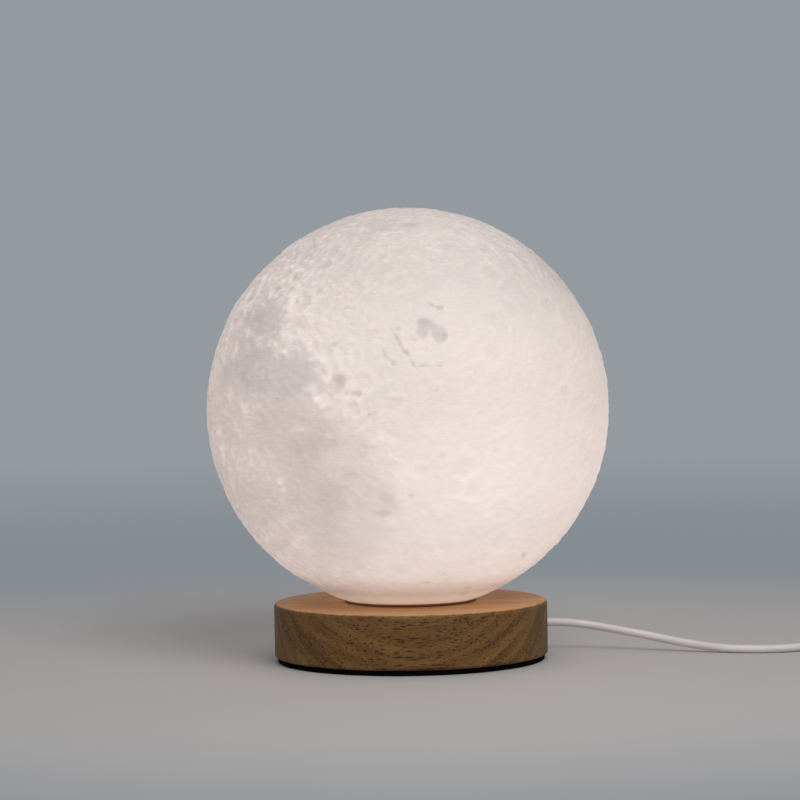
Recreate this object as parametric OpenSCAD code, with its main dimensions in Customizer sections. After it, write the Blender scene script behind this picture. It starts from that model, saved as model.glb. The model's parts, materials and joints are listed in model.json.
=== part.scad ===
// A moon lamp: a printed moon globe standing on a round wooden base that holds a small
// LED module, with a low-voltage cord, an in-line push switch and a USB-A plug.
// Millimetres, +Z up. The origin is the centre of the base pad's underside.

/* [Moon] */
// Outer diameter of the globe, over its highest relief
moon_d = 150; // [120:1:200]
// Wall of the printed globe
moon_wall = 2; // [1.2:0.1:3]
// Width of the flat ring round the opening that the globe stands on
foot_rim = 3; // [2:0.5:8]
// Height of the stiffening rim round the opening, inside the globe
rim_h = 5; // [3:0.5:12]
// Thickness of that rim
rim_t = 3.5; // [2:0.5:6]

/* [Seat ring] */
// Thickness of the soft ring between the globe and the wood
seat_t = 1; // [0.5:0.1:2]
// How far the ring's edge is set back under the globe's foot
seat_inset = 0.5; // [0:0.1:1]

/* [Wooden base] */
// Diameter of the wooden base
base_d = 102; // [85:1:140]
// Height of the wood, without the pad
base_h = 20; // [16.5:0.5:36]
// Radius of the rounded top edge
top_round = 1.5; // [0.5:0.1:3]
// Radius of the rounded bottom edge
bottom_round = 1; // [0.3:0.1:2]
// Diameter of the recess for the electronics, from below
recess_d = 60; // [50:1:72]
// Wood left above the recess
roof_t = 7; // [5.5:0.5:8.5]

/* [Base pad] */
// Thickness of the foam pad under the base
pad_t = 2; // [1:0.5:4]
// How far the pad's edge is set in from the wood
pad_inset = 1.2; // [0:0.1:4]

/* [Lamp module] */
// Outer diameter of the cup that holds the LED board
cup_d = 32; // [26:0.5:39]
// Width of the flange round the cup, whose edge centres the globe
flange_rim = 5.5; // [5:0.5:8]
// Height of the flange above the wood
flange_h = 5; // [4:0.5:8]
// Depth of the cup below the top of the wood
cup_depth = 8; // [6.5:0.5:10]
// Wall and floor of the cup
cup_wall = 1.6; // [1:0.1:2]
// Width of the ledge that the lens lies on
lens_ledge = 3.8; // [2:0.1:4.5]
// Thickness of the lens at its edge
lens_edge = 1.5; // [1:0.1:2]
// Height of the lens's dome above its edge
lens_rise = 2.5; // [1:0.5:4]
// Thickness of the LED board
board_t = 1.6; // [1:0.1:2]
// Distance from the cup's inner wall to the circle of LEDs
led_inset = 6.4; // [5.9:0.1:7.5]
// Number of LEDs in the circle, round one in the middle
led_count = 6; // [4:1:6]
// Length, width and height of an LED
led_size = [3.5, 2.8, 0.8];
// Length, width and height of a chip resistor
resistor_size = [3.2, 1.6, 0.6];

/* [Screws] */
// Shank of the screws that hold the lamp module
housing_screw_d = 2; // [1.6:0.1:2.2]
// Head of the screws that hold the lamp module
housing_head_d = 3.8; // [3:0.1:4.2]
// Shank of the small screws in the board, the clamp and the switch
small_screw_d = 1.8; // [1.4:0.1:2]
// Head of the small screws
small_head_d = 3.4; // [3:0.1:3.6]
// Height of every screw head
head_h = 1.4; // [1:0.1:1.6]

/* [Cord] */
// Diameter of the cord
cord_d = 3; // [2.5:0.1:3.6]
// Direction in which the cord leaves the base, turned from +X towards +Y
exit_angle = 20; // [15:1:40]
// Drop from the bottom of the cup to the cord's axis
cord_drop = 3; // [2.5:0.1:3.6]
// Wall of the grommet's sleeve
grommet_wall = 1.3; // [0.8:0.1:1.6]
// How far the grommet's lip stands out round its sleeve
lip_rim = 1.2; // [0.8:0.1:2]
// Thickness of the lip
lip_t = 1.2; // [0.8:0.1:2]
// Length, along the cord, of the clamp inside the base
clamp_l = 5; // [4:0.5:6]
// Width of the clamp across the cord
clamp_w = 17; // [16:0.5:18]

/* [In-line switch] */
// Length of the switch housing
switch_l = 46; // [42:1:56]
// Width of the switch housing
switch_w = 15; // [14:0.5:18]
// Height of the switch housing
switch_h = 11.5; // [10:0.5:14]
// Wall of the switch housing
switch_wall = 1.4; // [1:0.1:1.6]
// Length of the flexible boot at each end
boot_l = 8; // [5:0.5:12]
// Diameter of the push button
button_d = 8; // [7:0.5:9]
// How far the button stands above the housing
button_proud = 1.6; // [1.3:0.1:2.5]
// Travel of the button
button_travel = 1.2; // [0.8:0.1:1.5]
// Number of turns in the button's spring
spring_turns = 4; // [3:1:5]

/* [USB plug] */
// Length of the moulded grip
grip_l = 22; // [18:1:28]
// Width of the grip
grip_w = 15.6; // [14:0.2:17]
// Height of the grip
grip_h = 7.6; // [7:0.2:9]
// Length of the tapered sleeve behind the grip
sleeve_l = 9; // [7:0.5:14]
// Width of the metal shell
shell_w = 12; // [12:0.1:12.2]
// Height of the metal shell
shell_h = 4.5; // [4.5:0.1:4.6]
// Length of the metal shell in front of the grip
shell_l = 12; // [11.7:0.1:12.5]

/* [Hidden] */
$fn = 96;

// Clearances
run_gap = 0.5;    // between the flange and what turns or lifts round it
slip_gap = 0.2;   // between parts that are pushed into each other
screw_gap = 0.05; // between a screw and its pilot hole
face_gap = 0.05;  // between a small part and the face that it stands on
stop_gap = 0.1;   // between a part and the wall that stops it
tip_gap = 0.2;    // between a screw's tip and the end of its pilot hole
pilot_cover = 0.6; // plastic over the end of a blind pilot hole

// Colours
moon_white = [0.93, 0.90, 0.88];
ring_grey = [0.42, 0.38, 0.35];
wood_brown = [0.66, 0.48, 0.31];
foam_black = [0.05, 0.05, 0.05];
plastic_white = [0.90, 0.90, 0.88];
steel_grey = [0.70, 0.70, 0.72];
cord_white = [0.86, 0.84, 0.86];
gold = [0.85, 0.68, 0.32];

// Levels, from the table up
wood_z = pad_t;
top_z = wood_z + base_h;
roof_z = top_z - roof_t;
foot_z = top_z + seat_t;
cup_z = top_z - cup_depth;
exit_h = cup_z - cord_drop;
cup_floor_z = cup_z + cup_wall;
board_z = cup_floor_z;
board_top_z = board_z + board_t;
flange_top_z = top_z + flange_h;
ledge_z = flange_top_z - lens_edge;

// Radii round the lamp's axis
base_r = base_d / 2;
flange_d = cup_d + 2 * flange_rim;
opening_r = flange_d / 2 + run_gap;
foot_r = opening_r + foot_rim;
moon_r = moon_d / 2;
moon_z = foot_z + sqrt(pow(moon_r, 2) - pow(foot_r, 2));
cup_bore_r = cup_d / 2 + slip_gap;
cup_inner_r = cup_d / 2 - cup_wall;
board_r = cup_inner_r - slip_gap;
lens_seat_r = cup_inner_r + lens_ledge;
lens_r = lens_seat_r - slip_gap;
led_ring_r = cup_inner_r - led_inset;
housing_screw_r = (cup_d + flange_rim) / 2;
housing_screw_angles = [90, 210, 330];
housing_pilot_z = ledge_z - pilot_cover;

// Places on the board, seen along the cord: +X is where the cord comes in. The insets
// are from the cup's inner wall, and a spread is half the distance between a pair.
wire_d = 1.2;
wire_inset = 2.9;
wire_spread = 1.8;
wire_pad = [cup_inner_r - wire_inset, wire_spread];
board_screw_inset = 3.2;
board_screw_y = cup_inner_r - board_screw_inset;
resistor_inset = 2.8;
resistor_spread = 2.4;
resistor_place = [resistor_inset - cup_inner_r, resistor_spread];
solder_d = 2;
solder_h = 0.9;
solder_cap = 0.2;

// The cord inside the base, along the exit direction
lip_r = base_r + lip_t;
grommet_d = cord_d + 2 * grommet_wall;
clamp_setback = 2.5; // between the recess's wall and the clamp
clamp_r = recess_d / 2 - clamp_setback - clamp_l / 2;
bare_jacket = 1.5;   // jacket that shows beyond the clamp
jacket_end_r = clamp_r - clamp_l / 2 - bare_jacket;
clamp_screw_inset = 2.4;
clamp_screw_y = clamp_w / 2 - clamp_screw_inset;
clamp_floor = 1.4;   // plastic under the cord
clamp_bottom_z = exit_h - cord_d / 2 - clamp_floor;
clamp_screw_reach = 4;

// The in-line switch on the table, with its long axis along X
switch_place = [195, 12];
switch_axis_z = switch_h / 2;
switch_corner = 5;
boot_big_d = cord_d + 3.4;
boot_small_d = cord_d + 1.4;
boot_neck_d = cord_d + 1.2;
boot_flange_t = 1.2;
head_sink = 0.2;  // how far the screw heads lie inside the housing
post_inset = 6.5;
post_x = switch_l / 2 - post_inset;
post_d = 5.2;
switch_pilot_z = switch_h - switch_wall - pilot_cover;
switch_board_size = [22, switch_w - 2 * switch_wall - 2 * run_gap, 1];
board_lift = 1.2; // height of the ribs under the board
switch_board_z = switch_wall + board_lift;
switch_board_top_z = switch_board_z + switch_board_size[2];
block_w = 8.5;
plunger_d = 2;
press_gap = 0.4;  // left under the button when it is pressed
button_flange_t = 0.8;
button_flange_rim = 0.8;
button_flange_z = switch_h - switch_wall - stop_gap - button_flange_t;
button_gap = 0.3;
button_wall = 1;
button_roof = 1.7;
button_top_z = switch_h + button_proud;
button_pocket_top_z = button_top_z - button_roof;
block_top_z = button_flange_z - button_travel - press_gap;
plunger_top_z = button_pocket_top_z - button_travel - press_gap;
spring_wire_d = 0.5;
spring_d = 4.6;
switch_wire_d = 1;

// The plug on the table, pointing to -X
plug_back = [190, -43.5];
plug_axis_z = grip_h / 2;
sleeve_big_d = cord_d + 3.4;
sleeve_small_d = cord_d + 1.4;
shell_wall = 0.35;
shell_bore = [shell_w - 2 * shell_wall, shell_h - 2 * shell_wall];
shell_hold = 6;
grip_corner = 2.2;
tongue_h = 1.9;

// The coil: layers of loops that wind in and out by turns
coil_place = [219.5, -21];
coil_turns = 11.25;
coil_layers = 4;
coil_mid_r = 17.5;
turn_gap = 0.5;
loop_pitch = cord_d + turn_gap;
layer_pitch = cord_d + turn_gap;
tie_t = 0.5;
tie_w = 4;
tie_gap = 0.1;
rings_per_loop = 24;
coil_sides = 6;
layer_turns = coil_turns / coil_layers;
coil_travel = layer_turns * loop_pitch;
coil_out_r = coil_mid_r + coil_travel / 2;
coil_in_r = coil_mid_r - coil_travel / 2;
coil_z = tie_t + tie_gap + cord_d / 2;
coil_top_z = coil_z + (coil_layers - 1) * layer_pitch;

// Route of the cord from the grommet to the switch. The first points leave the base
// square to its side, and the last ones enter the boot along its axis.
lie_z = cord_d / 2;
exit_dir = [cos(exit_angle), sin(exit_angle), 0];
exit_point = lip_r * exit_dir + [0, 0, exit_h];
switch_in = [switch_place[0] - switch_l / 2 - boot_l, switch_place[1], switch_axis_z];
lead_route = [
    exit_point,
    exit_point + cord_d * exit_dir,
    [60, 20.5, 10.5],
    [67, 20.5, 9.6],
    [74, 19, 8.5],
    [80.5, 17, 7.4],
    [87, 15, 6.3],
    [93, 13, 5.2],
    [99, 11, 4.1],
    [105, 9, 3.1],
    [111, 7, 2.3],
    [118, 4.5, 1.7],
    [126, 2.5, lie_z],
    [134, 2, lie_z],
    [142, 3.5, lie_z],
    [149, 7, 2],
    [155, 10.4, 3.7],
    switch_in - [cord_d, 0, 0],
    switch_in
];

// Route from the switch round to the coil, which it meets at the side away from the lamp
switch_out = [switch_place[0] + switch_l / 2 + boot_l, switch_place[1], switch_axis_z];
coil_start = [coil_place[0] + coil_out_r, coil_place[1] + cord_d, coil_z];
link_route = [
    switch_out,
    switch_out + [cord_d, 0, 0],
    [234, 9.5, 4.9],
    [239, 4.5, 3.9],
    [241.7, -1.5, 3],
    [242, -8, 2.3],
    coil_start + [0, cord_d, 0],
    coil_start
];

// Route from the top of the coil down to the plug
coil_end = [coil_place[0] - cord_d, coil_place[1] - coil_out_r, coil_top_z];
plug_in = [plug_back[0], plug_back[1], plug_axis_z];
tail_route = [
    coil_end,
    coil_end - [cord_d, 0, 0],
    [207, -43.5, 10.8],
    [201, -43.5, 7.9],
    [196.5, -43.5, 5.3],
    plug_in + [cord_d, 0, 0],
    plug_in
];

// Shape helpers

function unit(v) = v / norm(v);

// Direction of travel at point i of a route
function heading(route, i) =
    unit(route[min(i + 1, len(route) - 1)] - route[max(i - 1, 0)]);

// One ring of a tube, square to the direction of travel. The route never runs along ref.
function tube_ring(centre, along, r, sides, ref) =
    let (side = unit(cross(ref, along)), up = cross(along, side))
    [for (k = [0 : sides - 1]) centre + r * (cos(360 * k / sides) * side + sin(360 * k / sides) * up)];

// A tube of diameter d that follows a route with one ring at each point
module tube(route, d, sides, ref = [0, 0, 1]) {
    n = len(route);
    rings = [for (i = [0 : n - 1]) each tube_ring(route[i], heading(route, i), d / 2, sides, ref)];
    walls = [
        for (i = [0 : n - 2], k = [0 : sides - 1])
            let (a = i * sides + k, b = i * sides + (k + 1) % sides)
            each [[a, a + sides, b + sides], [a, b + sides, b]]
    ];
    back = [for (k = [0 : sides - 1]) k];
    front = [for (k = [sides - 1 : -1 : 0]) (n - 1) * sides + k];
    polyhedron(points = rings, faces = concat(walls, [back, front]));
}

// A route with each of its corners rounded off over a distance r
function rounded(points, r) = [
    points[0],
    for (i = [1 : len(points) - 2])
        let (
            from = points[i] + r * unit(points[i - 1] - points[i]),
            to = points[i] + r * unit(points[i + 1] - points[i])
        )
        each [for (t = [0 : 0.25 : 1]) (1 - t) * (1 - t) * from + 2 * t * (1 - t) * points[i] + t * t * to],
    points[len(points) - 1]
];

// A rectangle with round corners, centred on the origin
module round_rect(size, r) {
    square([size[0] - 2 * r, size[1]], center = true);
    square([size[0], size[1] - 2 * r], center = true);
    for (x = [-1, 1], y = [-1, 1])
        translate([x * (size[0] / 2 - r), y * (size[1] / 2 - r)])
            circle(r = r);
}

// A pan-head screw whose head sits below z = 0 and whose shank points up
module screw(shank_d, head_d, length) {
    slot_w = 0.5;
    slot_depth = 0.5;
    difference() {
        translate([0, 0, -head_h])
            cylinder(h = head_h, d = head_d);
        translate([-head_d / 2 - 1, -slot_w / 2, -head_h - 1])
            cube([head_d + 2, slot_w, slot_depth + 1]);
    }
    cylinder(h = length, d = shank_d);
}

// Turns what follows so that +X points along the cord's exit
module along_exit() {
    rotate([0, 0, exit_angle])
        children();
}

// The moon

module moon_shell() {
    color(moon_white)
        difference() {
            union() {
                difference() {
                    translate([0, 0, moon_z])
                        sphere(r = moon_r);
                    translate([0, 0, moon_z])
                        sphere(r = moon_r - moon_wall);
                }
                intersection() {
                    translate([0, 0, moon_z])
                        sphere(r = moon_r);
                    translate([0, 0, foot_z])
                        cylinder(h = rim_h, r = opening_r + rim_t);
                }
            }
            translate([0, 0, foot_z - moon_r])
                cylinder(h = moon_r, r = moon_r);
            translate([0, 0, foot_z - 1])
                cylinder(h = rim_h + 2, r = opening_r);
        }
}

module seat_ring() {
    color(ring_grey)
        translate([0, 0, top_z])
            difference() {
                cylinder(h = seat_t, r = foot_r - seat_inset);
                translate([0, 0, -1])
                    cylinder(h = seat_t + 2, r = opening_r);
            }
}

// The base

// Outline of the turned wood, from its axis to its rounded edges
module wood_outline() {
    difference() {
        translate([0, wood_z])
            square([base_r, base_h]);
        translate([base_r - top_round, top_z - top_round])
            square(top_round + 1);
        translate([base_r - bottom_round, wood_z - 1])
            square([bottom_round + 1, bottom_round + 1]);
    }
    translate([base_r - top_round, top_z - top_round])
        circle(r = top_round);
    translate([base_r - bottom_round, wood_z + bottom_round])
        circle(r = bottom_round);
}

module wooden_base() {
    color(wood_brown)
        difference() {
            rotate_extrude()
                wood_outline();
            translate([0, 0, wood_z - 1])
                cylinder(h = roof_z - wood_z + 1, d = recess_d);
            translate([0, 0, roof_z - 1])
                cylinder(h = roof_t + 2, r = cup_bore_r);
            for (a = housing_screw_angles)
                rotate([0, 0, a])
                    translate([housing_screw_r, 0, roof_z - 1])
                        cylinder(h = roof_t + 2, d = housing_screw_d + 2 * slip_gap);
            along_exit() {
                translate([recess_d / 2 - 3, 0, exit_h])
                    rotate([0, 90, 0])
                        cylinder(h = base_r, d = grommet_d + 2 * screw_gap);
                for (y = [-clamp_screw_y, clamp_screw_y])
                    translate([clamp_r, y, roof_z - 1])
                        cylinder(h = 1 + clamp_screw_reach + tip_gap, d = small_screw_d + 2 * screw_gap);
            }
        }
}

module base_pad() {
    color(foam_black)
        cylinder(h = pad_t, r = base_r - pad_inset);
}

// The lamp module

module lamp_cup() {
    color(plastic_white)
        difference() {
            union() {
                translate([0, 0, cup_z])
                    cylinder(h = cup_depth, d = cup_d);
                translate([0, 0, top_z])
                    cylinder(h = flange_h, d = flange_d);
            }
            translate([0, 0, cup_floor_z])
                cylinder(h = ledge_z - cup_floor_z + 1, r = cup_inner_r);
            translate([0, 0, ledge_z])
                cylinder(h = lens_edge + 1, r = lens_seat_r);
            for (a = housing_screw_angles)
                rotate([0, 0, a])
                    translate([housing_screw_r, 0, top_z - 1])
                        cylinder(h = 1 + housing_pilot_z - top_z, d = housing_screw_d + 2 * screw_gap);
            along_exit() {
                for (y = [-1, 1])
                    translate([wire_pad[0], y * wire_pad[1], cup_z - 1])
                        cylinder(h = cup_wall + 2, d = wire_d + 2 * slip_gap);
                for (y = [-1, 1])
                    translate([0, y * board_screw_y, cup_z - 1])
                        cylinder(h = cup_wall + 2, d = small_screw_d + 2 * screw_gap);
            }
        }
}

module diffuser_lens() {
    dome_r = (pow(lens_r, 2) + pow(lens_rise, 2)) / (2 * lens_rise);
    color("white")
        union() {
            translate([0, 0, ledge_z])
                cylinder(h = lens_edge, r = lens_r);
            intersection() {
                translate([0, 0, flange_top_z + lens_rise - dome_r])
                    sphere(r = dome_r);
                translate([0, 0, ledge_z + lens_edge / 2])
                    cylinder(h = lens_rise + lens_edge, r = lens_r);
            }
        }
}

module led_board() {
    color([0.85, 0.86, 0.84])
        difference() {
            translate([0, 0, board_z])
                cylinder(h = board_t, r = board_r);
            along_exit() {
                for (y = [-1, 1])
                    translate([wire_pad[0], y * wire_pad[1], board_z - 1])
                        cylinder(h = board_t + 2, d = wire_d + 2 * screw_gap);
                for (y = [-1, 1])
                    translate([0, y * board_screw_y, board_z - 1])
                        cylinder(h = board_t + 2, d = small_screw_d + 2 * slip_gap);
            }
        }
}

// One LED, lying with its long side across the board's radius
module led() {
    translate([0, 0, board_top_z + led_size[2] / 2])
        cube([led_size[1], led_size[0], led_size[2]], center = true);
}

module leds() {
    color([0.98, 0.90, 0.62])
        along_exit() {
            led();
            for (i = [0 : led_count - 1])
                rotate([0, 0, 360 * i / led_count])
                    translate([led_ring_r, 0, 0])
                        led();
        }
}

module resistors() {
    color([0.12, 0.12, 0.13])
        along_exit()
            for (y = [-1, 1])
                translate([resistor_place[0], y * resistor_place[1], board_top_z + resistor_size[2] / 2])
                    cube([resistor_size[1], resistor_size[0], resistor_size[2]], center = true);
}

module solder_joints() {
    color(steel_grey)
        along_exit()
            for (y = [-1, 1])
                translate([wire_pad[0], y * wire_pad[1], board_top_z])
                    difference() {
                        cylinder(h = solder_h, d = solder_d);
                        translate([0, 0, -1])
                            cylinder(h = 1 + solder_h - solder_cap, d = wire_d + 2 * screw_gap);
                    }
}

module board_screws() {
    color(steel_grey)
        along_exit()
            for (y = [-1, 1])
                translate([0, y * board_screw_y, board_top_z])
                    mirror([0, 0, 1])
                        screw(small_screw_d, small_head_d, board_t + cup_wall);
}

module housing_screws() {
    color(steel_grey)
        for (a = housing_screw_angles)
            rotate([0, 0, a])
                translate([housing_screw_r, 0, roof_z])
                    screw(housing_screw_d, housing_head_d, housing_pilot_z - tip_gap - roof_z);
}

// A wire from the cord's jacket to its pad on the board; side is 1 or -1
module board_wire(side) {
    straight = 1.2;
    turn = 1.6;
    bend = 0.7;
    jacket = [jacket_end_r, side * cord_d / 4, exit_h];
    pad = [wire_pad[0], side * wire_pad[1], board_top_z + solder_h - solder_cap - 2 * face_gap];
    below_pad = [pad[0], pad[1], exit_h];
    corners = [jacket, jacket - [straight, 0, 0], below_pad + [turn, 0, 0], below_pad, pad];
    along_exit()
        tube(rounded(corners, bend), wire_d, 8, [0, 1, 0]);
}

module positive_wire() {
    color([0.75, 0.10, 0.08])
        board_wire(1);
}

module negative_wire() {
    color([0.08, 0.08, 0.09])
        board_wire(-1);
}

// The cord inside the base

module inner_cord() {
    color(cord_white)
        along_exit()
            translate([jacket_end_r, 0, exit_h])
                rotate([0, 90, 0])
                    cylinder(h = lip_r - jacket_end_r, d = cord_d);
}

module cord_grommet() {
    color([0.80, 0.79, 0.80])
        along_exit()
            translate([recess_d / 2, 0, exit_h])
                rotate([0, 90, 0])
                    difference() {
                        union() {
                            cylinder(h = base_r - recess_d / 2, d = grommet_d);
                            translate([0, 0, base_r - recess_d / 2])
                                cylinder(h = lip_t, d = grommet_d + 2 * lip_rim);
                        }
                        translate([0, 0, -1])
                            cylinder(h = base_r, d = cord_d + 2 * screw_gap);
                    }
}

module cord_clamp() {
    color([0.20, 0.20, 0.21])
        along_exit()
            difference() {
                translate([clamp_r - clamp_l / 2, -clamp_w / 2, clamp_bottom_z])
                    cube([clamp_l, clamp_w, roof_z - clamp_bottom_z]);
                translate([clamp_r - clamp_l, 0, exit_h])
                    rotate([0, 90, 0])
                        cylinder(h = 2 * clamp_l, d = cord_d + 2 * screw_gap);
                for (y = [-clamp_screw_y, clamp_screw_y])
                    translate([clamp_r, y, clamp_bottom_z - 1])
                        cylinder(h = roof_z, d = small_screw_d + 2 * slip_gap);
            }
}

module clamp_screws() {
    color(steel_grey)
        along_exit()
            for (y = [-clamp_screw_y, clamp_screw_y])
                translate([clamp_r, y, clamp_bottom_z])
                    screw(small_screw_d, small_head_d, roof_z - clamp_bottom_z + clamp_screw_reach);
}

// The cord on the table

module cord_lead() {
    color(cord_white)
        tube(lead_route, cord_d, 8);
}

module cord_link() {
    color(cord_white)
        tube(link_route, cord_d, 8);
}

module cord_tail() {
    color(cord_white)
        tube(tail_route, cord_d, 8);
}

// Radius of the coil after t turns: in on the odd layers, out on the even ones
function coil_r(t) =
    let (layer = min(floor(t / layer_turns), coil_layers - 1), part = t / layer_turns - layer)
    layer % 2 == 0 ? coil_out_r - coil_travel * part : coil_in_r + coil_travel * part;

// Share of the climb at reversal j that is done after t turns
function climbed(t, j) = max(0, min(1, 2 * (t - j * layer_turns) + 0.5));

// Sum of a list of numbers
function total(list) = list * [for (value = list) 1];

// Height of the coil after t turns
function coil_height(t) =
    coil_z + layer_pitch * total([for (j = [1 : coil_layers - 1]) climbed(t, j)]);

function coil_point(t) =
    [coil_place[0] + coil_r(t) * cos(360 * t), coil_place[1] - coil_r(t) * sin(360 * t), coil_height(t)];

coil_steps = coil_turns * rings_per_loop;
coil_route = concat(
    [coil_start],
    [for (i = [0 : coil_steps]) coil_point(i / rings_per_loop)],
    [coil_end]
);

// Least gap between turns, on points at least a third of a turn apart
coil_gap = min([
    for (i = [0 : len(coil_route) - 1], j = [i + rings_per_loop / 3 : 1 : len(coil_route) - 1])
        norm(coil_route[i] - coil_route[j])
]) - cord_d;
coil_length = total([
    for (i = [1 : len(coil_route) - 1]) norm(coil_route[i] - coil_route[i - 1])
]);
echo(coil_gap = coil_gap, coil_length = coil_length);

module cord_coil() {
    color(cord_white)
        tube(coil_route, cord_d, coil_sides);
}

// A band round the coil's bundle, with the twisted ends of the tie outside it
module coil_tie() {
    twist_l = 9;
    twist_d = 1.8;
    bundle_w = coil_out_r - coil_in_r + cord_d + 2 * tie_gap;
    bundle_h = coil_top_z - coil_z + cord_d + 2 * tie_gap;
    color([0.10, 0.10, 0.11])
        translate([coil_place[0], coil_place[1], tie_t + bundle_h / 2])
            rotate([0, 0, 180])
                union() {
                    translate([coil_mid_r, tie_w / 2, 0])
                        rotate([90, 0, 0])
                            linear_extrude(height = tie_w)
                                difference() {
                                    square([bundle_w + 2 * tie_t, bundle_h + 2 * tie_t], center = true);
                                    square([bundle_w, bundle_h], center = true);
                                }
                    translate([coil_mid_r + bundle_w / 2 + tie_t / 2, 0, 0])
                        rotate([0, 90, 0])
                            cylinder(h = twist_l, d = twist_d);
                }
}

// The in-line switch

module at_switch() {
    translate([switch_place[0], switch_place[1], 0])
        children();
}

module switch_lower_shell() {
    rib_t = 1.2;
    rib_x = switch_board_size[0] / 2 - 1.5;
    color(plastic_white)
        at_switch()
            difference() {
                union() {
                    difference() {
                        linear_extrude(height = switch_axis_z)
                            round_rect([switch_l, switch_w], switch_corner);
                        translate([0, 0, switch_wall])
                            linear_extrude(height = switch_h)
                                round_rect([switch_l - 2 * switch_wall, switch_w - 2 * switch_wall],
                                           switch_corner - switch_wall);
                    }
                    for (x = [-post_x, post_x])
                        translate([x, 0, 0])
                            cylinder(h = switch_axis_z, d = post_d);
                    for (x = [-1, 1])
                        translate([x * rib_x - rib_t / 2, (switch_wall - switch_w) / 2, switch_wall / 2])
                            cube([rib_t, switch_w - switch_wall, switch_board_z - switch_wall / 2]);
                }
                for (x = [-1, 1])
                    translate([x * (switch_l / 2 - switch_wall / 2), 0, switch_axis_z])
                        rotate([0, 90, 0])
                            cylinder(h = switch_wall + 2, d = boot_neck_d + 2 * screw_gap, center = true);
                for (x = [-post_x, post_x]) {
                    translate([x, 0, -1])
                        cylinder(h = 1 + head_sink + head_h, d = small_head_d + 2 * slip_gap);
                    translate([x, 0, 0])
                        cylinder(h = switch_h, d = small_screw_d + 2 * slip_gap);
                }
            }
}

module switch_upper_shell() {
    top_inset = 0.8;
    top_post_d = post_d - top_inset;
    color(plastic_white)
        at_switch()
            difference() {
                union() {
                    difference() {
                        union() {
                            translate([0, 0, switch_axis_z])
                                linear_extrude(height = switch_h - switch_axis_z - top_inset)
                                    round_rect([switch_l, switch_w], switch_corner);
                            translate([0, 0, switch_axis_z])
                                linear_extrude(height = switch_h - switch_axis_z)
                                    round_rect([switch_l - 2 * top_inset, switch_w - 2 * top_inset],
                                               switch_corner - top_inset);
                        }
                        translate([0, 0, switch_axis_z - 1])
                            linear_extrude(height = switch_h - switch_wall - switch_axis_z + 1)
                                round_rect([switch_l - 2 * switch_wall, switch_w - 2 * switch_wall],
                                           switch_corner - switch_wall);
                    }
                    for (x = [-post_x, post_x])
                        translate([x, 0, switch_axis_z])
                            cylinder(h = switch_h - switch_axis_z - switch_wall / 2, d = top_post_d);
                }
                for (x = [-1, 1])
                    translate([x * (switch_l / 2 - switch_wall / 2), 0, switch_axis_z])
                        rotate([0, 90, 0])
                            cylinder(h = switch_wall + 2, d = boot_neck_d + 2 * screw_gap, center = true);
                for (x = [-post_x, post_x])
                    translate([x, 0, 0])
                        cylinder(h = switch_pilot_z, d = small_screw_d + 2 * screw_gap);
                cylinder(h = switch_h + 1, d = button_d + 2 * button_gap);
            }
}

// One boot, from its inner flange through the wall to its free end
module boot() {
    rotate([0, 90, 0]) {
        translate([0, 0, -switch_wall - stop_gap - boot_flange_t])
            cylinder(h = boot_flange_t, d = boot_big_d);
        translate([0, 0, -switch_wall - 2 * stop_gap])
            cylinder(h = switch_wall + 4 * stop_gap, d = boot_neck_d);
        translate([0, 0, face_gap])
            cylinder(h = boot_l - face_gap, d1 = boot_big_d, d2 = boot_small_d);
    }
}

module switch_boots() {
    color(plastic_white)
        at_switch()
            for (a = [0, 180])
                translate([0, 0, switch_axis_z])
                    rotate([0, 0, a])
                        translate([switch_l / 2, 0, 0])
                            boot();
}

module switch_board() {
    color([0.12, 0.32, 0.20])
        at_switch()
            translate([0, 0, switch_board_z + switch_board_size[2] / 2])
                cube(switch_board_size, center = true);
}

module switch_block() {
    color([0.15, 0.15, 0.16])
        at_switch() {
            translate([-block_w / 2, -block_w / 2, switch_board_top_z])
                cube([block_w, block_w, block_top_z - switch_board_top_z]);
            translate([0, 0, switch_board_top_z])
                cylinder(h = plunger_top_z - switch_board_top_z, d = plunger_d);
        }
}

// Four wires from the boots down to the board, two at each end
module switch_wires() {
    start_x = switch_l / 2 - switch_wall - stop_gap - boot_flange_t;
    turn_x = switch_board_size[0] / 2 - 1.2;
    straight = 1.2;
    bend = 0.5;
    start_y = 1.8;
    wire_y = 3.9;
    passing_x = post_x + 0.6; // where the wires are clear of the screw post
    color([0.70, 0.12, 0.10])
        at_switch()
            for (end = [0, 180], side = [-1, 1])
                rotate([0, 0, end])
                    tube(
                        rounded([
                            [start_x, side * start_y, switch_axis_z],
                            [start_x - straight, side * start_y, switch_axis_z],
                            [passing_x, side * wire_y, switch_axis_z],
                            [turn_x, side * wire_y, switch_axis_z],
                            [turn_x, side * wire_y, switch_board_top_z]
                        ], bend), switch_wire_d, 6, [0, 1, 0]);
}

module switch_button() {
    bevel = 0.4;
    color([0.82, 0.82, 0.81])
        at_switch()
            difference() {
                union() {
                    translate([0, 0, button_flange_z])
                        cylinder(h = button_flange_t, d = button_d + 2 * button_flange_rim);
                    translate([0, 0, button_flange_z])
                        cylinder(h = button_top_z - button_flange_z - bevel, d = button_d);
                    translate([0, 0, button_top_z - bevel])
                        cylinder(h = bevel, d1 = button_d, d2 = button_d - 2 * bevel);
                }
                translate([0, 0, button_flange_z - 1])
                    cylinder(h = button_pocket_top_z - button_flange_z + 1, d = button_d - 2 * button_wall);
            }
}

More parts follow.
